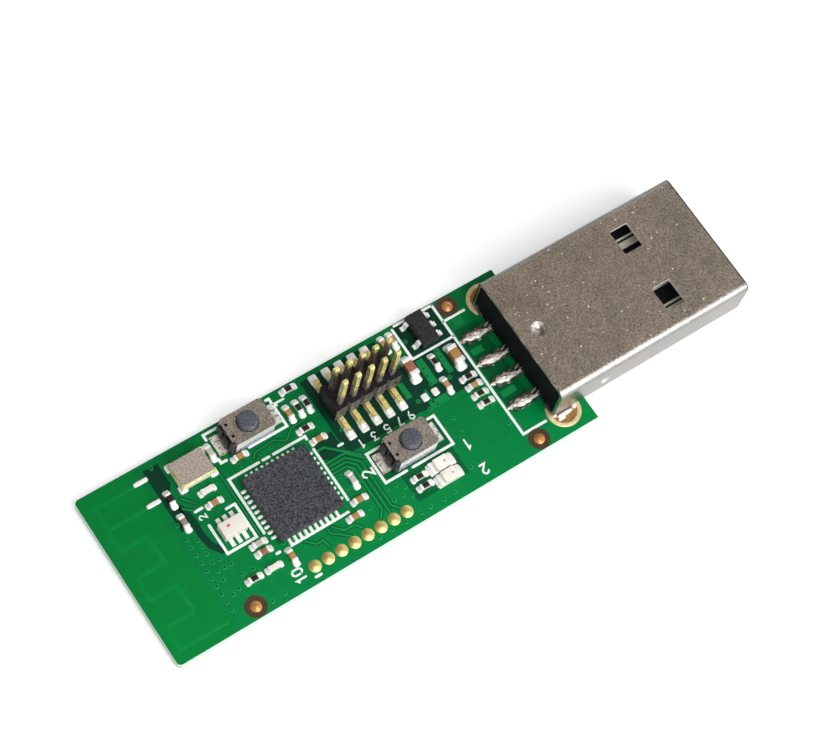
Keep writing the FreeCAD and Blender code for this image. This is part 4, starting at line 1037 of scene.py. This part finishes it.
def chip_part(mesh, low, high, kind, edge):
    """A chip part between two corners: a body, a glazed top on a resistor, and two tinned ends."""
    along = 0 if runs_along_x(low, high) else 1
    end = (high[along] - low[along]) * END_SHARE
    inset = 0.02 * MM
    body_low, body_high = low.copy(), high.copy()
    for axis in range(2):
        body_low[axis] += inset if axis != along else end * 0.5
        body_high[axis] -= inset if axis != along else end * 0.5
    body_high.z -= inset
    if kind == "resistor":
        glaze = (high.z - low.z) * GLAZE_SHARE
        body_high.z -= glaze
        block(mesh, body_low, body_high, 2, edge * 0.5)
        glaze_low, glaze_high = body_low.copy(), body_high.copy()
        glaze_low[along] += end * 0.45
        glaze_high[along] -= end * 0.45
        glaze_low[1 - along] += inset
        glaze_high[1 - along] -= inset
        glaze_low.z = body_high.z - inset * 0.2
        glaze_high.z = body_high.z + glaze
        block(mesh, glaze_low, glaze_high, 0, edge)
    else:
        block(mesh, body_low, body_high, 0, edge)
    for side in (0, 1):
        cap_low, cap_high = low.copy(), high.copy()
        if side:
            cap_low[along] = high[along] - end
        else:
            cap_high[along] = low[along] + end
        block(mesh, cap_low, cap_high, 1, edge)


class STICK_OT_small_parts(bpy.types.Operator):
    """Chip capacitors, coils and resistors, each with its body and tinned ends"""

    bl_idname = "stick.small_parts"
    bl_label = "Small parts"

    def execute(self, context):
        parts = context.scene.stick_parts
        for node, kind, finish, slot in SMALL_NODES:
            mesh = bmesh.new()
            for low, high in solids_of(node):
                chip_part(mesh, low, high, kind, parts.edge)
            finished(node + "_dressed", mesh, [finish, "tin", "ceramic"], stands_for=[node])
        return {"FINISHED"}


def part_solder(mesh, metal):
    """A mound at each end of every chip part."""
    for node, *_ in SMALL_NODES:
        for low, high in solids_of(node):
            middle = (low + high) / 2
            along = 0 if runs_along_x(low, high) else 1
            width = (high[1 - along] - low[1 - along]) * 1.16
            height = (high.z - low.z) * 0.8
            reach = metal.solder_reach * (1.0 + 0.9 * (height / MM - 0.28))
            for side in (-1, 1):
                face = middle.copy()
                face[along] = high[along] if side > 0 else low[along]
                turn = (0 if side > 0 else math.pi) + (math.pi / 2 if along else 0)
                longer = 1.5 if along and side < 0 else 1.0
                mound(mesh, face.x, face.y, BOARD_TOP, turn, 0.06 * MM, reach * longer, width, height, 0.07 * MM,
                      bow=2.2 / longer)


def lead_solder(mesh, metal):
    """A small mound beyond each lead of the radio chip."""
    chip_low, chip_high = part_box("radio_chip_body")
    for low, high in solids_of("radio_chip_leads"):
        size = high - low
        if min(size.x, size.y) > 1.0 * MM:
            continue
        middle = (low + high) / 2
        along = 0 if runs_along_x(low, high) else 1
        side = 1 if middle[along] > (chip_low[along] + chip_high[along]) / 2 else -1
        face = middle.copy()
        face[along] = chip_high[along] if side > 0 else chip_low[along]
        turn = (0 if side > 0 else math.pi) + (math.pi / 2 if along else 0)
        width = min(size.x, size.y) * 1.2
        longer = 0.58 * MM if along and side < 0 else 0.42 * MM
        mound(mesh, face.x, face.y, BOARD_TOP, turn, 0.05 * MM, longer, width, 0.2 * MM, 0.1 * MM,
              across=7, along=6, bow=1.4)


def pin_solder(mesh, metal):
    """A long land under each header foot, with solder round the foot."""
    for number in range(1, 11):
        low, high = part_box("header_pin_%d" % number)
        side = 1 if number % 2 == 0 else -1
        middle = (low.x + high.x) / 2
        tip = high.y if side > 0 else low.y
        half = 0.38 * MM
        edge = BOARD_HIGH.y - 0.14 * MM if side > 0 else BOARD_LOW.y
        reach = min(0.65 * MM, abs(edge - tip))
        ends = sorted((tip + side * reach, tip - side * 0.25 * MM))
        plate(mesh, Vector((middle - half, ends[0], BOARD_TOP)), Vector((middle + half, ends[1], BOARD_TOP)), 0.14 * MM,
              round_power=7.0)
        half = 0.3 * MM
        ends = sorted((tip, tip - side * 1.7 * MM))
        plate(mesh, Vector((middle - half, ends[0], BOARD_TOP)), Vector((middle + half, ends[1], BOARD_TOP)), 0.06 * MM,
              slot=1)
        turn = side * math.pi / 2
        mound(mesh, middle, tip, BOARD_TOP, turn, 0.5 * MM, reach * 0.92, 0.66 * MM, 0.36 * MM, 0.1 * MM)


def leaf(mesh, start, end, middle, half, top):
    """Solder flooded along a tail: a pointed leaf with a near ridge and a long far flank, rumpled as it set."""
    steps, across, ridge = 28, 17, -0.25
    rows = []
    for i in range(steps + 1):
        share = i / steps
        x = start + (end - start) * share
        swell = min(1.0, 0.14 + 2.3 * share) * (1.0 if share < 0.6 else 1.0 - 0.8 * (share - 0.6) / 0.4)
        reach = half * swell * (1 + 0.12 * math.sin(23 * share + middle * 4000))
        bend = (0.5 - share) * 0.5 * half
        row = []
        for k in range(across):
            side = 2 * k / (across - 1) - 1
            slope = (side - ridge) / (1 - ridge) if side > ridge else (ridge - side) / (1 + ridge)
            rumple = 0.16 * math.sin(19 * share + 6 * side + middle * 900) + 0.12 * math.sin(33 * share - 13 * side)
            rise = top * (0.35 + 0.65 * swell) * (1 - slope) * (1 + rumple)
            height = 0.0 if abs(side) > 0.999 else rise + 0.2 * MM * min(1.0, 4 * share)
            row.append(mesh.verts.new((x, middle + bend + side * reach, BOARD_TOP + height)))
        rows.append(row)
    for lower, upper in zip(rows, rows[1:]):
        for k in range(across - 1):
            face = mesh.faces.new((lower[k], lower[k + 1], upper[k + 1], upper[k]))
            face.material_index = 1 if 2 * (k + 0.5) / (across - 1) - 1 > 0.1 else 2
    mesh.faces.new(rows[0])
    mesh.faces.new(rows[-1])
    mesh.faces.new([row[0] for row in rows] + [row[-1] for row in reversed(rows)])


def whisker(mesh, x, y, z, out, aside, up):
    """A drawn-out point of solder."""
    width = 0.05 * MM
    tip = mesh.verts.new((x + out, y + aside, z + up))
    foot = [mesh.verts.new((x, y - width, z)), mesh.verts.new((x, y + width, z)), mesh.verts.new((x, y, z + 2 * width))]
    mesh.faces.new(foot)
    for k in range(3):
        mesh.faces.new((foot[k], foot[(k + 1) % 3], tip))


def contact_solder(mesh, metal):
    """A leaf of solder over the tail of each plug contact, and points drawn up the wall."""
    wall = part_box("plug_insulator")[0].x
    for number in range(1, 5):
        low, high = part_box("plug_contact_%d" % number)
        middle = (low.y + high.y) / 2
        half = (high.y - low.y) / 2
        leaf(mesh, low.x - 0.45 * MM, wall - 0.1 * MM, middle, half * 0.98, 0.4 * MM)
        for k, (back, aside, up) in enumerate(((0.5, 0.3, 0.5), (0.35, -0.12, 0.7), (0.6, -0.34, 0.35))):
            whisker(mesh, wall - back * MM, middle + aside * 0.7 * MM, BOARD_TOP + 0.25 * MM,
                    (back - 0.04) * MM, (aside * 0.5 + 0.05 * k) * MM, up * MM)


def lamp_solder(mesh, metal):
    for number in (1, 2):
        low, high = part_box("led_%d_base" % number)
        middle = (low.y + high.y) / 2
        for x, turn in ((low.x, math.pi), (high.x, 0.0)):
            mound(mesh, x, middle, BOARD_TOP, turn, 0.06 * MM, 0.24 * MM, (high.y - low.y) * 0.98,
                  (high.z - low.z) * 0.9, 0.05 * MM)


# Lumps of solder round each leg of the plug: place, length, width and height.
SLOT_LUMPS = ((-0.1, -0.36, 1.5, 0.34, 0.26), (0.15, 0.36, 1.2, 0.36, 0.24), (-0.95, 0.05, 0.5, 0.6, 0.2),
              (0.95, -0.08, 0.46, 0.62, 0.22), (-0.55, -0.62, 0.7, 0.22, 0.14), (0.55, 0.66, 0.6, 0.2, 0.14))


def slot_solder(mesh, metal):
    """Solder that fills the slot round each leg of the plug and domes over it."""
    for low, high in solids_of("solder_joints"):
        size = high - low
        if low.z < 0.5 * MM and size.x > 1.5 * MM:
            block(mesh, low, Vector((high.x, high.y, BOARD_TOP)), slot=1, edge=0.3 * MM, steps=3)
            middle = (low + high) / 2
            for along, across, length, width, rise in SLOT_LUMPS:
                lump = Vector((middle.x + along * MM, middle.y + across * MM, BOARD_TOP))
                reach = Vector((length * MM / 2, width * MM / 2, 0.0))
                plate(mesh, lump - reach, lump + reach, rise * MM, round_power=2.4)


def bare_land_solder(mesh, metal):
    """Solder left on lands that carry no part."""
    for low, high in solids_of("solder_joints"):
        size = high - low
        thin = size.z < 0.07 * MM and low.z > 0.9 * MM
        antenna_land = abs(size.x - 1.3 * MM) < 0.02 * MM
        empty_land = abs(size.x - 0.62 * MM) < 0.02 * MM
        if thin and (antenna_land or empty_land):
            plate(mesh, low, high, metal.land_rise * (2.2 if antenna_land else 1.6))


class STICK_OT_solder(bpy.types.Operator):
    """Solder at every part: mounds, flooded tails, filled slots and bare lands"""

    bl_idname = "stick.solder"
    bl_label = "Solder"

    def execute(self, context):
        metal = context.scene.stick_metal
        mesh = bmesh.new()
        for build in (part_solder, lead_solder, pin_solder, contact_solder, lamp_solder, slot_solder, bare_land_solder):
            build(mesh, metal)
        finished("solder", mesh, ["tin", "tan_tin", "streaked_tin"], stands_for=["solder_joints"])
        for node in ("radio_chip_leads", "balun_terminals", "regulator_leads"):
            dress(node, "tin")
        for number in (1, 2):
            dress("switch_%d_terminals" % number, "foot_%d" % number)
        return {"FINISHED"}


OPENING_WIDTH = 1.9


class STICK_OT_gold(bpy.types.Operator):
    """Gold test pads, alignment dots in their dark openings, and the rings round the plug's legs"""

    bl_idname = "stick.gold"
    bl_label = "Gold pads"

    def execute(self, context):
        mesh = bmesh.new()
        opening = bmesh.new()
        for low, high in solids_of("gold_pads"):
            centre = ((low.x + high.x) / 2, (low.y + high.y) / 2)
            radius = (high.x - low.x) / 2
            top = high.z
            if radius > 1.0 * MM:
                inner = radius * 0.78
                profile = ((0.0, BOARD_TOP), (radius, BOARD_TOP), (radius, top), (radius * 0.97, top + 0.02 * MM),
                           (inner, top + 0.02 * MM), (inner, top - 0.01 * MM), (0.0, top - 0.01 * MM))
                lathe(mesh, profile, centre, sides=72, slot=2)
                lathe(mesh, ((0.0, top - 0.03 * MM), (inner * 0.99, top - 0.03 * MM), (inner * 0.99, top + 0.004 * MM),
                             (0.0, top + 0.004 * MM)), centre, sides=72, slot=1)
                continue
            dome = 0.16 * MM
            profile = [(0.0, BOARD_TOP), (radius, BOARD_TOP)]
            for share in (1.0, 0.94, 0.82, 0.66, 0.46, 0.24, 0.0):
                profile.append((radius * share, top - 0.03 * MM + dome * (1 - share * share)))
            lathe(mesh, profile, centre, sides=40, slot=3 if radius < 0.5 * MM else 0)
            if radius < 0.5 * MM:
                rim = OPENING_WIDTH / 2 * MM
                opening_top = BOARD_TOP + 0.012 * MM
                lathe(opening, ((0.0, BOARD_TOP), (rim, BOARD_TOP), (rim, opening_top), (0.0, opening_top)),
                      centre, sides=48)
        finished("gold_pads_dressed", mesh, ["pad_gold", "stain", "ring_gold", "bronze"], stands_for=["gold_pads"])
        finished("alignment_openings", opening, ["opening"])
        return {"FINISHED"}


class STICK_OT_header(bpy.types.Operator):
    """Gold pins in a black strip"""

    bl_idname = "stick.header"
    bl_label = "Header"

    def execute(self, context):
        for number in range(1, 11):
            dress("header_pin_%d" % number, "near_pin" if number % 2 else "far_pin")
        dress("header_body", "header_plastic")
        return {"FINISHED"}


class STICK_OT_chips(bpy.types.Operator):
    """The radio chip, the regulator and the balun block"""

    bl_idname = "stick.chips"
    bl_label = "Chips"

    def execute(self, context):
        parts = context.scene.stick_parts
        dress("radio_chip_body", "chip")
        dress("regulator_body", "dark_resin")
        low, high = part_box("balun_body")
        mesh = bmesh.new()
        block(mesh, low, high, 0, parts.edge * 2, steps=3)
        size = high - low
        dot = (low.x + 0.34 * size.x, low.y + 0.62 * size.y)
        radius = 0.17 * MM
        lathe(mesh, ((0.0, high.z - 0.02 * MM), (radius, high.z - 0.02 * MM), (radius, high.z + 0.004 * MM),
                     (0.0, high.z + 0.004 * MM)), dot, sides=24, slot=1, squash=0.75)
        finished("balun_block", mesh, ["ceramic", "coral"], stands_for=["balun_body"])
        return {"FINISHED"}


class STICK_OT_crystal(bpy.types.Operator):
    """The crystal's ceramic tray with a gold seal under its metal lid"""

    bl_idname = "stick.crystal"
    bl_label = "Crystal"

    def execute(self, context):
        parts = context.scene.stick_parts
        dress("crystal_lid", "lid")
        soften("crystal_lid")
        low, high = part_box("crystal_base")
        mesh = bmesh.new()
        seal = 0.12 * MM
        block(mesh, low, Vector((high.x, high.y, high.z - seal)), 0, parts.edge * 1.5)
        inset = 0.03 * MM
        block(mesh, Vector((low.x + inset, low.y + inset, high.z - seal)),
              Vector((high.x - inset, high.y - inset, high.z)), 1, parts.edge)
        for x in (low.x, high.x):
            for y in (low.y, high.y):
                reach = Vector((0.55 * MM, 0.55 * MM, 0.0))
                corner = Vector((x, y, BOARD_TOP))
                inward = Vector((reach.x if x == low.x else -reach.x, reach.y if y == low.y else -reach.y, 0.0))
                outward = -inward * 0.35
                a, b = corner + outward, corner + inward
                plate(mesh, Vector((min(a.x, b.x), min(a.y, b.y), BOARD_TOP)),
                      Vector((max(a.x, b.x), max(a.y, b.y), BOARD_TOP)), 0.16 * MM, slot=2)
        finished("crystal_tray", mesh, ["ceramic", "gold", "tin"], stands_for=["crystal_base"])
        return {"FINISHED"}


class STICK_OT_lamps(bpy.types.Operator):
    """Two milky chip lamps with their dies showing through"""

    bl_idname = "stick.lamps"
    bl_label = "Lamps"

    def execute(self, context):
        parts = context.scene.stick_parts
        for number in (1, 2):
            base, lens = "led_%d_base" % number, "led_%d_lens" % number
            low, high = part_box(base)
            mesh = bmesh.new()
            block(mesh, low, high, 0, parts.edge)
            end = 0.32 * MM
            for a, b in ((low.x - 0.01 * MM, low.x + end), (high.x - end, high.x + 0.01 * MM)):
                block(mesh, Vector((a, low.y + 0.06 * MM, low.z)), Vector((b, high.y - 0.06 * MM, high.z + 0.01 * MM)),
                      1, parts.edge * 0.5)
            finished("lamp_%d_base" % number, mesh, ["white", "tin"], stands_for=[base])
            low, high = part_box(lens)
            mesh = bmesh.new()
            block(mesh, low, high, 0, parts.edge * 3, steps=3)
            middle = (low + high) / 2
            lathe(mesh, ((0.0, high.z - 0.01 * MM), (0.1 * MM, high.z - 0.01 * MM), (0.1 * MM, high.z + 0.002 * MM),
                         (0.0, high.z + 0.002 * MM)), (middle.x + 0.25 * MM, middle.y), sides=16, slot=1)
            finished("lamp_%d_lens" % number, mesh, ["lens", "die"], stands_for=[lens])
        return {"FINISHED"}


# The wall and flat crown of the dome under a button.
DOME_WALL = 0.05 * MM
DOME_CROWN = 0.45 * MM


def snap_dome(number):
    """The thin sprung dome under a button, made in its resting shape."""
    node = "switch_%d_dome" % number
    low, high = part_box(node)
    centre = ((low.x + high.x) / 2, (low.y + high.y) / 2)
    rim = (high.x - low.x) / 2
    below, above = [(0.0, high.z - DOME_WALL)], [(0.0, high.z)]
    for share in (0.0, 0.25, 0.5, 0.75, 1.0):
        radius = DOME_CROWN + (rim - DOME_WALL - DOME_CROWN) * share
        drop = (high.z - DOME_WALL - low.z) * share
        below.append((radius, high.z - DOME_WALL - drop))
        radius = DOME_CROWN + (rim - DOME_CROWN) * share
        above.append((radius, high.z - (high.z - low.z) * share))
    mesh = bmesh.new()
    lathe(mesh, below + above[:0:-1] + above[:1], centre, sides=48)
    piece = finished("switch_%d_snap_dome" % number, mesh, ["plate"], stands_for=[node])
    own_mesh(piece)


class STICK_OT_switches(bpy.types.Operator):
    """Two push switches: pressed covers, white bases and grey buttons"""

    bl_idname = "stick.switches"
    bl_label = "Switches"

    def execute(self, context):
        for number in (1, 2):
            dress("switch_%d_base" % number, "switch_white")
            dress("switch_%d_cover" % number, "cover")
            soften("switch_%d_cover" % number)
            snap_dome(number)
            low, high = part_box("switch_%d_cover" % number)
            mesh = bmesh.new()
            # Dark slabs on the plate: painted shade of the two notches at its left end.
            for across in (0.62, -0.5):
                middle = (low.y + high.y) / 2 + across * MM
                block(mesh, Vector((low.x + 0.22 * MM, middle - 0.13 * MM, high.z - 0.05 * MM)),
                      Vector((low.x + 0.46 * MM, middle + 0.13 * MM, high.z + 0.006 * MM)))
            # Bent tabs at the left end, in the dark end colour: painted shade.
            for near, far, out, inward, top in ((-1.32, -0.86, 0.26, 0.3, 0.02), (-0.7, 0.1, 0.34, -0.01, -0.45),
                                                (0.3, 1.1, 0.24, -0.01, -0.3)):
                middle = (low.y + high.y) / 2
                block(mesh, Vector((low.x - out * MM, middle + near * MM, BOARD_TOP + 0.1 * MM)),
                      Vector((low.x + inward * MM, middle + far * MM, high.z + top * MM)), 1, 0.14 * MM, steps=3)
            finished("switch_%d_end" % number, mesh, ["plug_black", "skirt"])
            node = "switch_%d_button" % number
            low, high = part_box(node)
            centre = ((low.x + high.x) / 2, (low.y + high.y) / 2)
            cover_low, cover_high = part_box("switch_%d_cover" % number)
            flange = (high.x - low.x) / 2
            radius = flange - 0.2 * MM
            edge = 0.2 * MM
            flange_top = cover_high.z - 0.16 * MM
            flange_low = flange_top - 0.3 * MM
            profile = [(0.0, low.z), (0.45 * MM, low.z), (0.45 * MM, flange_low), (flange, flange_low),
                       (flange, flange_top), (radius, flange_top), (radius, high.z - edge)]
            for angle in (22.5, 45.0, 67.5, 90.0):
                turn = math.radians(angle)
                profile.append((radius - edge + edge * math.cos(turn), high.z - edge + edge * math.sin(turn)))
            profile.append((0.0, high.z))
            mesh = bmesh.new()
            lathe(mesh, profile, centre, sides=64)
            finished("button_%d_dressed" % number, mesh, ["button"], body="button_%d" % number,
                     stands_for=[node])
        return {"FINISHED"}


class STICK_OT_plug(bpy.types.Operator):
    """The plug: plated shell, black moulding and gold contacts"""

    bl_idname = "stick.plug"
    bl_label = "Plug"

    def execute(self, context):
        dress("plug_shell", "steel")
        soften("plug_shell")
        dress("plug_insulator", "plug_black")
        for number in range(1, 5):
            dress("plug_contact_%d" % number, "contact_%d" % number)
        return {"FINISHED"}


# The floor lies this much above the board's underside, so that the two don't flicker from below.
FLOOR_HEIGHT = 0.01 * MM
# The camera, from the photograph's own perspective: place in metres, turn in degrees.
CAMERA_PLACE = (-0.06108, -0.04614, 0.16976)
CAMERA_TURN = (23.950, -8.131, -34.178)
SENSOR_WIDTH = 36.0
# The height of a direction at which the ceiling begins, and at which it is all that gloss sees.
CEILING_STARTS = 0.45
CEILING_FULL = 0.82
# The way towards the dark room, and how far round to it the room begins and is complete.
ROOM_WAY = (-0.5, 0.86, 0.0)
ROOM_STARTS = 0.15
ROOM_FULL = 0.6
# How much of that room's dark the even light takes.
ROOM_SHADE = 0.6


def studio_world(strength, ceiling, room):
    """White for the camera, metal and glass, softer for the even light, with a dim room in the gloss."""
    world = bpy.data.worlds.new("studio")
    bpy.context.scene.world = world
    world.use_nodes = True
    nodes, links = world.node_tree.nodes, world.node_tree.links
    background = nodes["Background"]
    ray = nodes.new("ShaderNodeLightPath")
    first = nodes.new("ShaderNodeMath")
    first.operation = "MAXIMUM"
    links.new(ray.outputs["Is Camera Ray"], first.inputs[0])
    links.new(ray.outputs["Is Glossy Ray"], first.inputs[1])
    second = nodes.new("ShaderNodeMath")
    second.operation = "MAXIMUM"
    links.new(first.outputs[0], second.inputs[0])
    links.new(ray.outputs["Is Transmission Ray"], second.inputs[1])
    level = nodes.new("ShaderNodeMapRange")
    level.inputs["To Min"].default_value = strength
    level.inputs["To Max"].default_value = 1.0
    links.new(second.outputs[0], level.inputs["Value"])
    split = nodes.new("ShaderNodeSeparateXYZ")
    links.new(nodes.new("ShaderNodeTexCoord").outputs["Generated"], split.inputs["Vector"])
    overhead = nodes.new("ShaderNodeMapRange")
    overhead.interpolation_type = "SMOOTHSTEP"
    overhead.inputs["From Min"].default_value = CEILING_STARTS
    overhead.inputs["From Max"].default_value = CEILING_FULL
    links.new(split.outputs["Z"], overhead.inputs["Value"])
    seen = nodes.new("ShaderNodeMath")
    seen.operation = "MULTIPLY"
    links.new(overhead.outputs["Result"], seen.inputs[0])
    links.new(ray.outputs["Is Glossy Ray"], seen.inputs[1])
    tint = nodes.new("ShaderNodeMix")
    tint.data_type = "RGBA"
    links.new(seen.outputs[0], tint.inputs[0])
    tint.inputs[7].default_value = (*ceiling, 1.0)
    lean = nodes.new("ShaderNodeVectorMath")
    lean.operation = "DOT_PRODUCT"
    links.new(split.inputs["Vector"].links[0].from_socket, lean.inputs[0])
    lean.inputs[1].default_value = ROOM_WAY
    behind = nodes.new("ShaderNodeMapRange")
    behind.interpolation_type = "SMOOTHSTEP"
    behind.inputs["From Min"].default_value = ROOM_STARTS
    behind.inputs["From Max"].default_value = ROOM_FULL
    links.new(lean.outputs["Value"], behind.inputs["Value"])
    felt = nodes.new("ShaderNodeMath")
    felt.operation = "MULTIPLY_ADD"
    links.new(ray.outputs["Is Diffuse Ray"], felt.inputs[0])
    felt.inputs[1].default_value = ROOM_SHADE
    links.new(ray.outputs["Is Glossy Ray"], felt.inputs[2])
    shut = nodes.new("ShaderNodeMath")
    shut.operation = "MULTIPLY"
    links.new(behind.outputs["Result"], shut.inputs[0])
    links.new(felt.outputs[0], shut.inputs[1])
    back = nodes.new("ShaderNodeMix")
    back.data_type = "RGBA"
    links.new(shut.outputs[0], back.inputs[0])
    back.inputs[6].default_value = (1.0, 1.0, 1.0, 1.0)
    back.inputs[7].default_value = (*room, 1.0)
    links.new(back.outputs[2], tint.inputs[6])
    links.new(tint.outputs[2], background.inputs["Color"])
    links.new(level.outputs["Result"], background.inputs["Strength"])


def floor_finish(colour):
    """Pale floor that the camera sees as near white and that keeps the shadow."""
    material = bpy.data.materials.new("studio_floor")
    material.use_nodes = True
    nodes, links = material.node_tree.nodes, material.node_tree.links
    shader = nodes["Principled BSDF"]
    shader.inputs["Base Color"].default_value = (*colour, 1.0)
    shader.inputs["Roughness"].default_value = 0.9
    shader.inputs["Specular IOR Level"].default_value = 0.0
    shader.inputs["Emission Color"].default_value = (1.0, 1.0, 1.0, 1.0)
    ray = nodes.new("ShaderNodeLightPath")
    glow = nodes.new("ShaderNodeMath")
    glow.operation = "MULTIPLY"
    seen = nodes.new("ShaderNodeMath")
    seen.operation = "MAXIMUM"
    links.new(ray.outputs["Is Camera Ray"], seen.inputs[0])
    links.new(ray.outputs["Is Glossy Ray"], seen.inputs[1])
    links.new(seen.outputs[0], glow.inputs[0])
    glow.inputs[1].default_value = 0.3
    links.new(glow.outputs[0], shader.inputs["Emission Strength"])
    return material


def soft_light(name, place, aim, width, height, power):
    data = bpy.data.lights.new(name, "AREA")
    data.shape = "RECTANGLE"
    data.size = width
    data.size_y = height
    data.energy = power
    light = bpy.data.objects.new(name, data)
    bpy.context.scene.collection.objects.link(light)
    light.location = place
    light.rotation_euler = (Vector(aim) - Vector(place)).to_track_quat("-Z", "Y").to_euler()
    return light


class STICK_OT_studio(bpy.types.Operator):
    """Pale floor, soft lights, a world with a dim ceiling for the gloss, and the camera"""

    bl_idname = "stick.studio"
    bl_label = "Studio"

    def execute(self, context):
        studio = context.scene.stick_studio
        scene = context.scene
        scene.view_settings.view_transform = "Standard"
        studio_world(studio.sky, studio.ceiling, studio.room)
        half = studio.floor_size / 2
        data = bpy.data.meshes.new("floor")
        corners = [(x * half, y * half, FLOOR_HEIGHT) for x, y in ((-1, -1), (1, -1), (1, 1), (-1, 1))]
        data.from_pydata(corners, [], [(0, 1, 2, 3)])
        data.materials.append(floor_finish(studio.floor))
        floor = bpy.data.objects.new("floor", data)
        scene.collection.objects.link(floor)
        soft_light("key_light", (0.07, -0.28, 0.17), (0, 0, 0), 0.30, 0.16, studio.key_power)
        soft_light("top_light", (0.02, -0.16, 0.32), (0, 0, 0), 0.22, 0.22, studio.top_power)
        lens = bpy.data.cameras.new("camera")
        lens.lens = studio.lens
        lens.sensor_width = SENSOR_WIDTH
        lens.clip_start = 0.005
        lens.clip_end = 10.0
        camera = bpy.data.objects.new("camera", lens)
        scene.collection.objects.link(camera)
        camera.location = CAMERA_PLACE
        camera.rotation_euler = [math.radians(a) for a in CAMERA_TURN]
        scene.camera = camera
        return {"FINISHED"}


class STICK_OT_finishes(bpy.types.Operator):
    """Makes every finish that the pieces use"""

    bl_idname = "stick.finishes"
    bl_label = "Finishes"

    def execute(self, context):
        make_finishes()
        FINISHES["opening"] = mottled("opening", paint(74, 58, 44), 0.2, 0.3 * MM, 0.003 * MM, 0.5, specular=0.2)
        return {"FINISHED"}


OPERATORS = (STICK_OT_finishes, STICK_OT_board, STICK_OT_vias, STICK_OT_print, STICK_OT_small_parts,
             STICK_OT_solder, STICK_OT_gold, STICK_OT_header, STICK_OT_chips, STICK_OT_crystal, STICK_OT_lamps,
             STICK_OT_switches, STICK_OT_plug, STICK_OT_studio)


class STICK_PT_panel(bpy.types.Panel):
    """Lists the steps that dress the stick"""

    bl_label = "Radio Stick"
    bl_idname = "STICK_PT_panel"
    bl_space_type = "VIEW_3D"
    bl_region_type = "UI"
    bl_category = "Stick"

    def draw(self, context):
        for operator in OPERATORS:
            self.layout.operator(operator.bl_idname)
        for group in settings():
            column = self.layout.column()
            for name in group.__annotations__:
                column.prop(group, name)


GROUPS = (("stick_board", BoardSettings), ("stick_metal", MetalSettings), ("stick_parts", PartSettings),
          ("stick_studio", StudioSettings))


def register():
    for name, group in GROUPS:
        bpy.utils.register_class(group)
        setattr(bpy.types.Scene, name, bpy.props.PointerProperty(type=group))
    for operator in OPERATORS:
        bpy.utils.register_class(operator)
    bpy.utils.register_class(STICK_PT_panel)


def unregister():
    bpy.utils.unregister_class(STICK_PT_panel)
    for operator in reversed(OPERATORS):
        bpy.utils.unregister_class(operator)
    for name, group in reversed(GROUPS):
        delattr(bpy.types.Scene, name)
        bpy.utils.unregister_class(group)


def main():
    register()
    for operator in OPERATORS:
        family, name = operator.bl_idname.split(".")
        getattr(getattr(bpy.ops, family), name)()


if __name__ == "__main__":
    main()
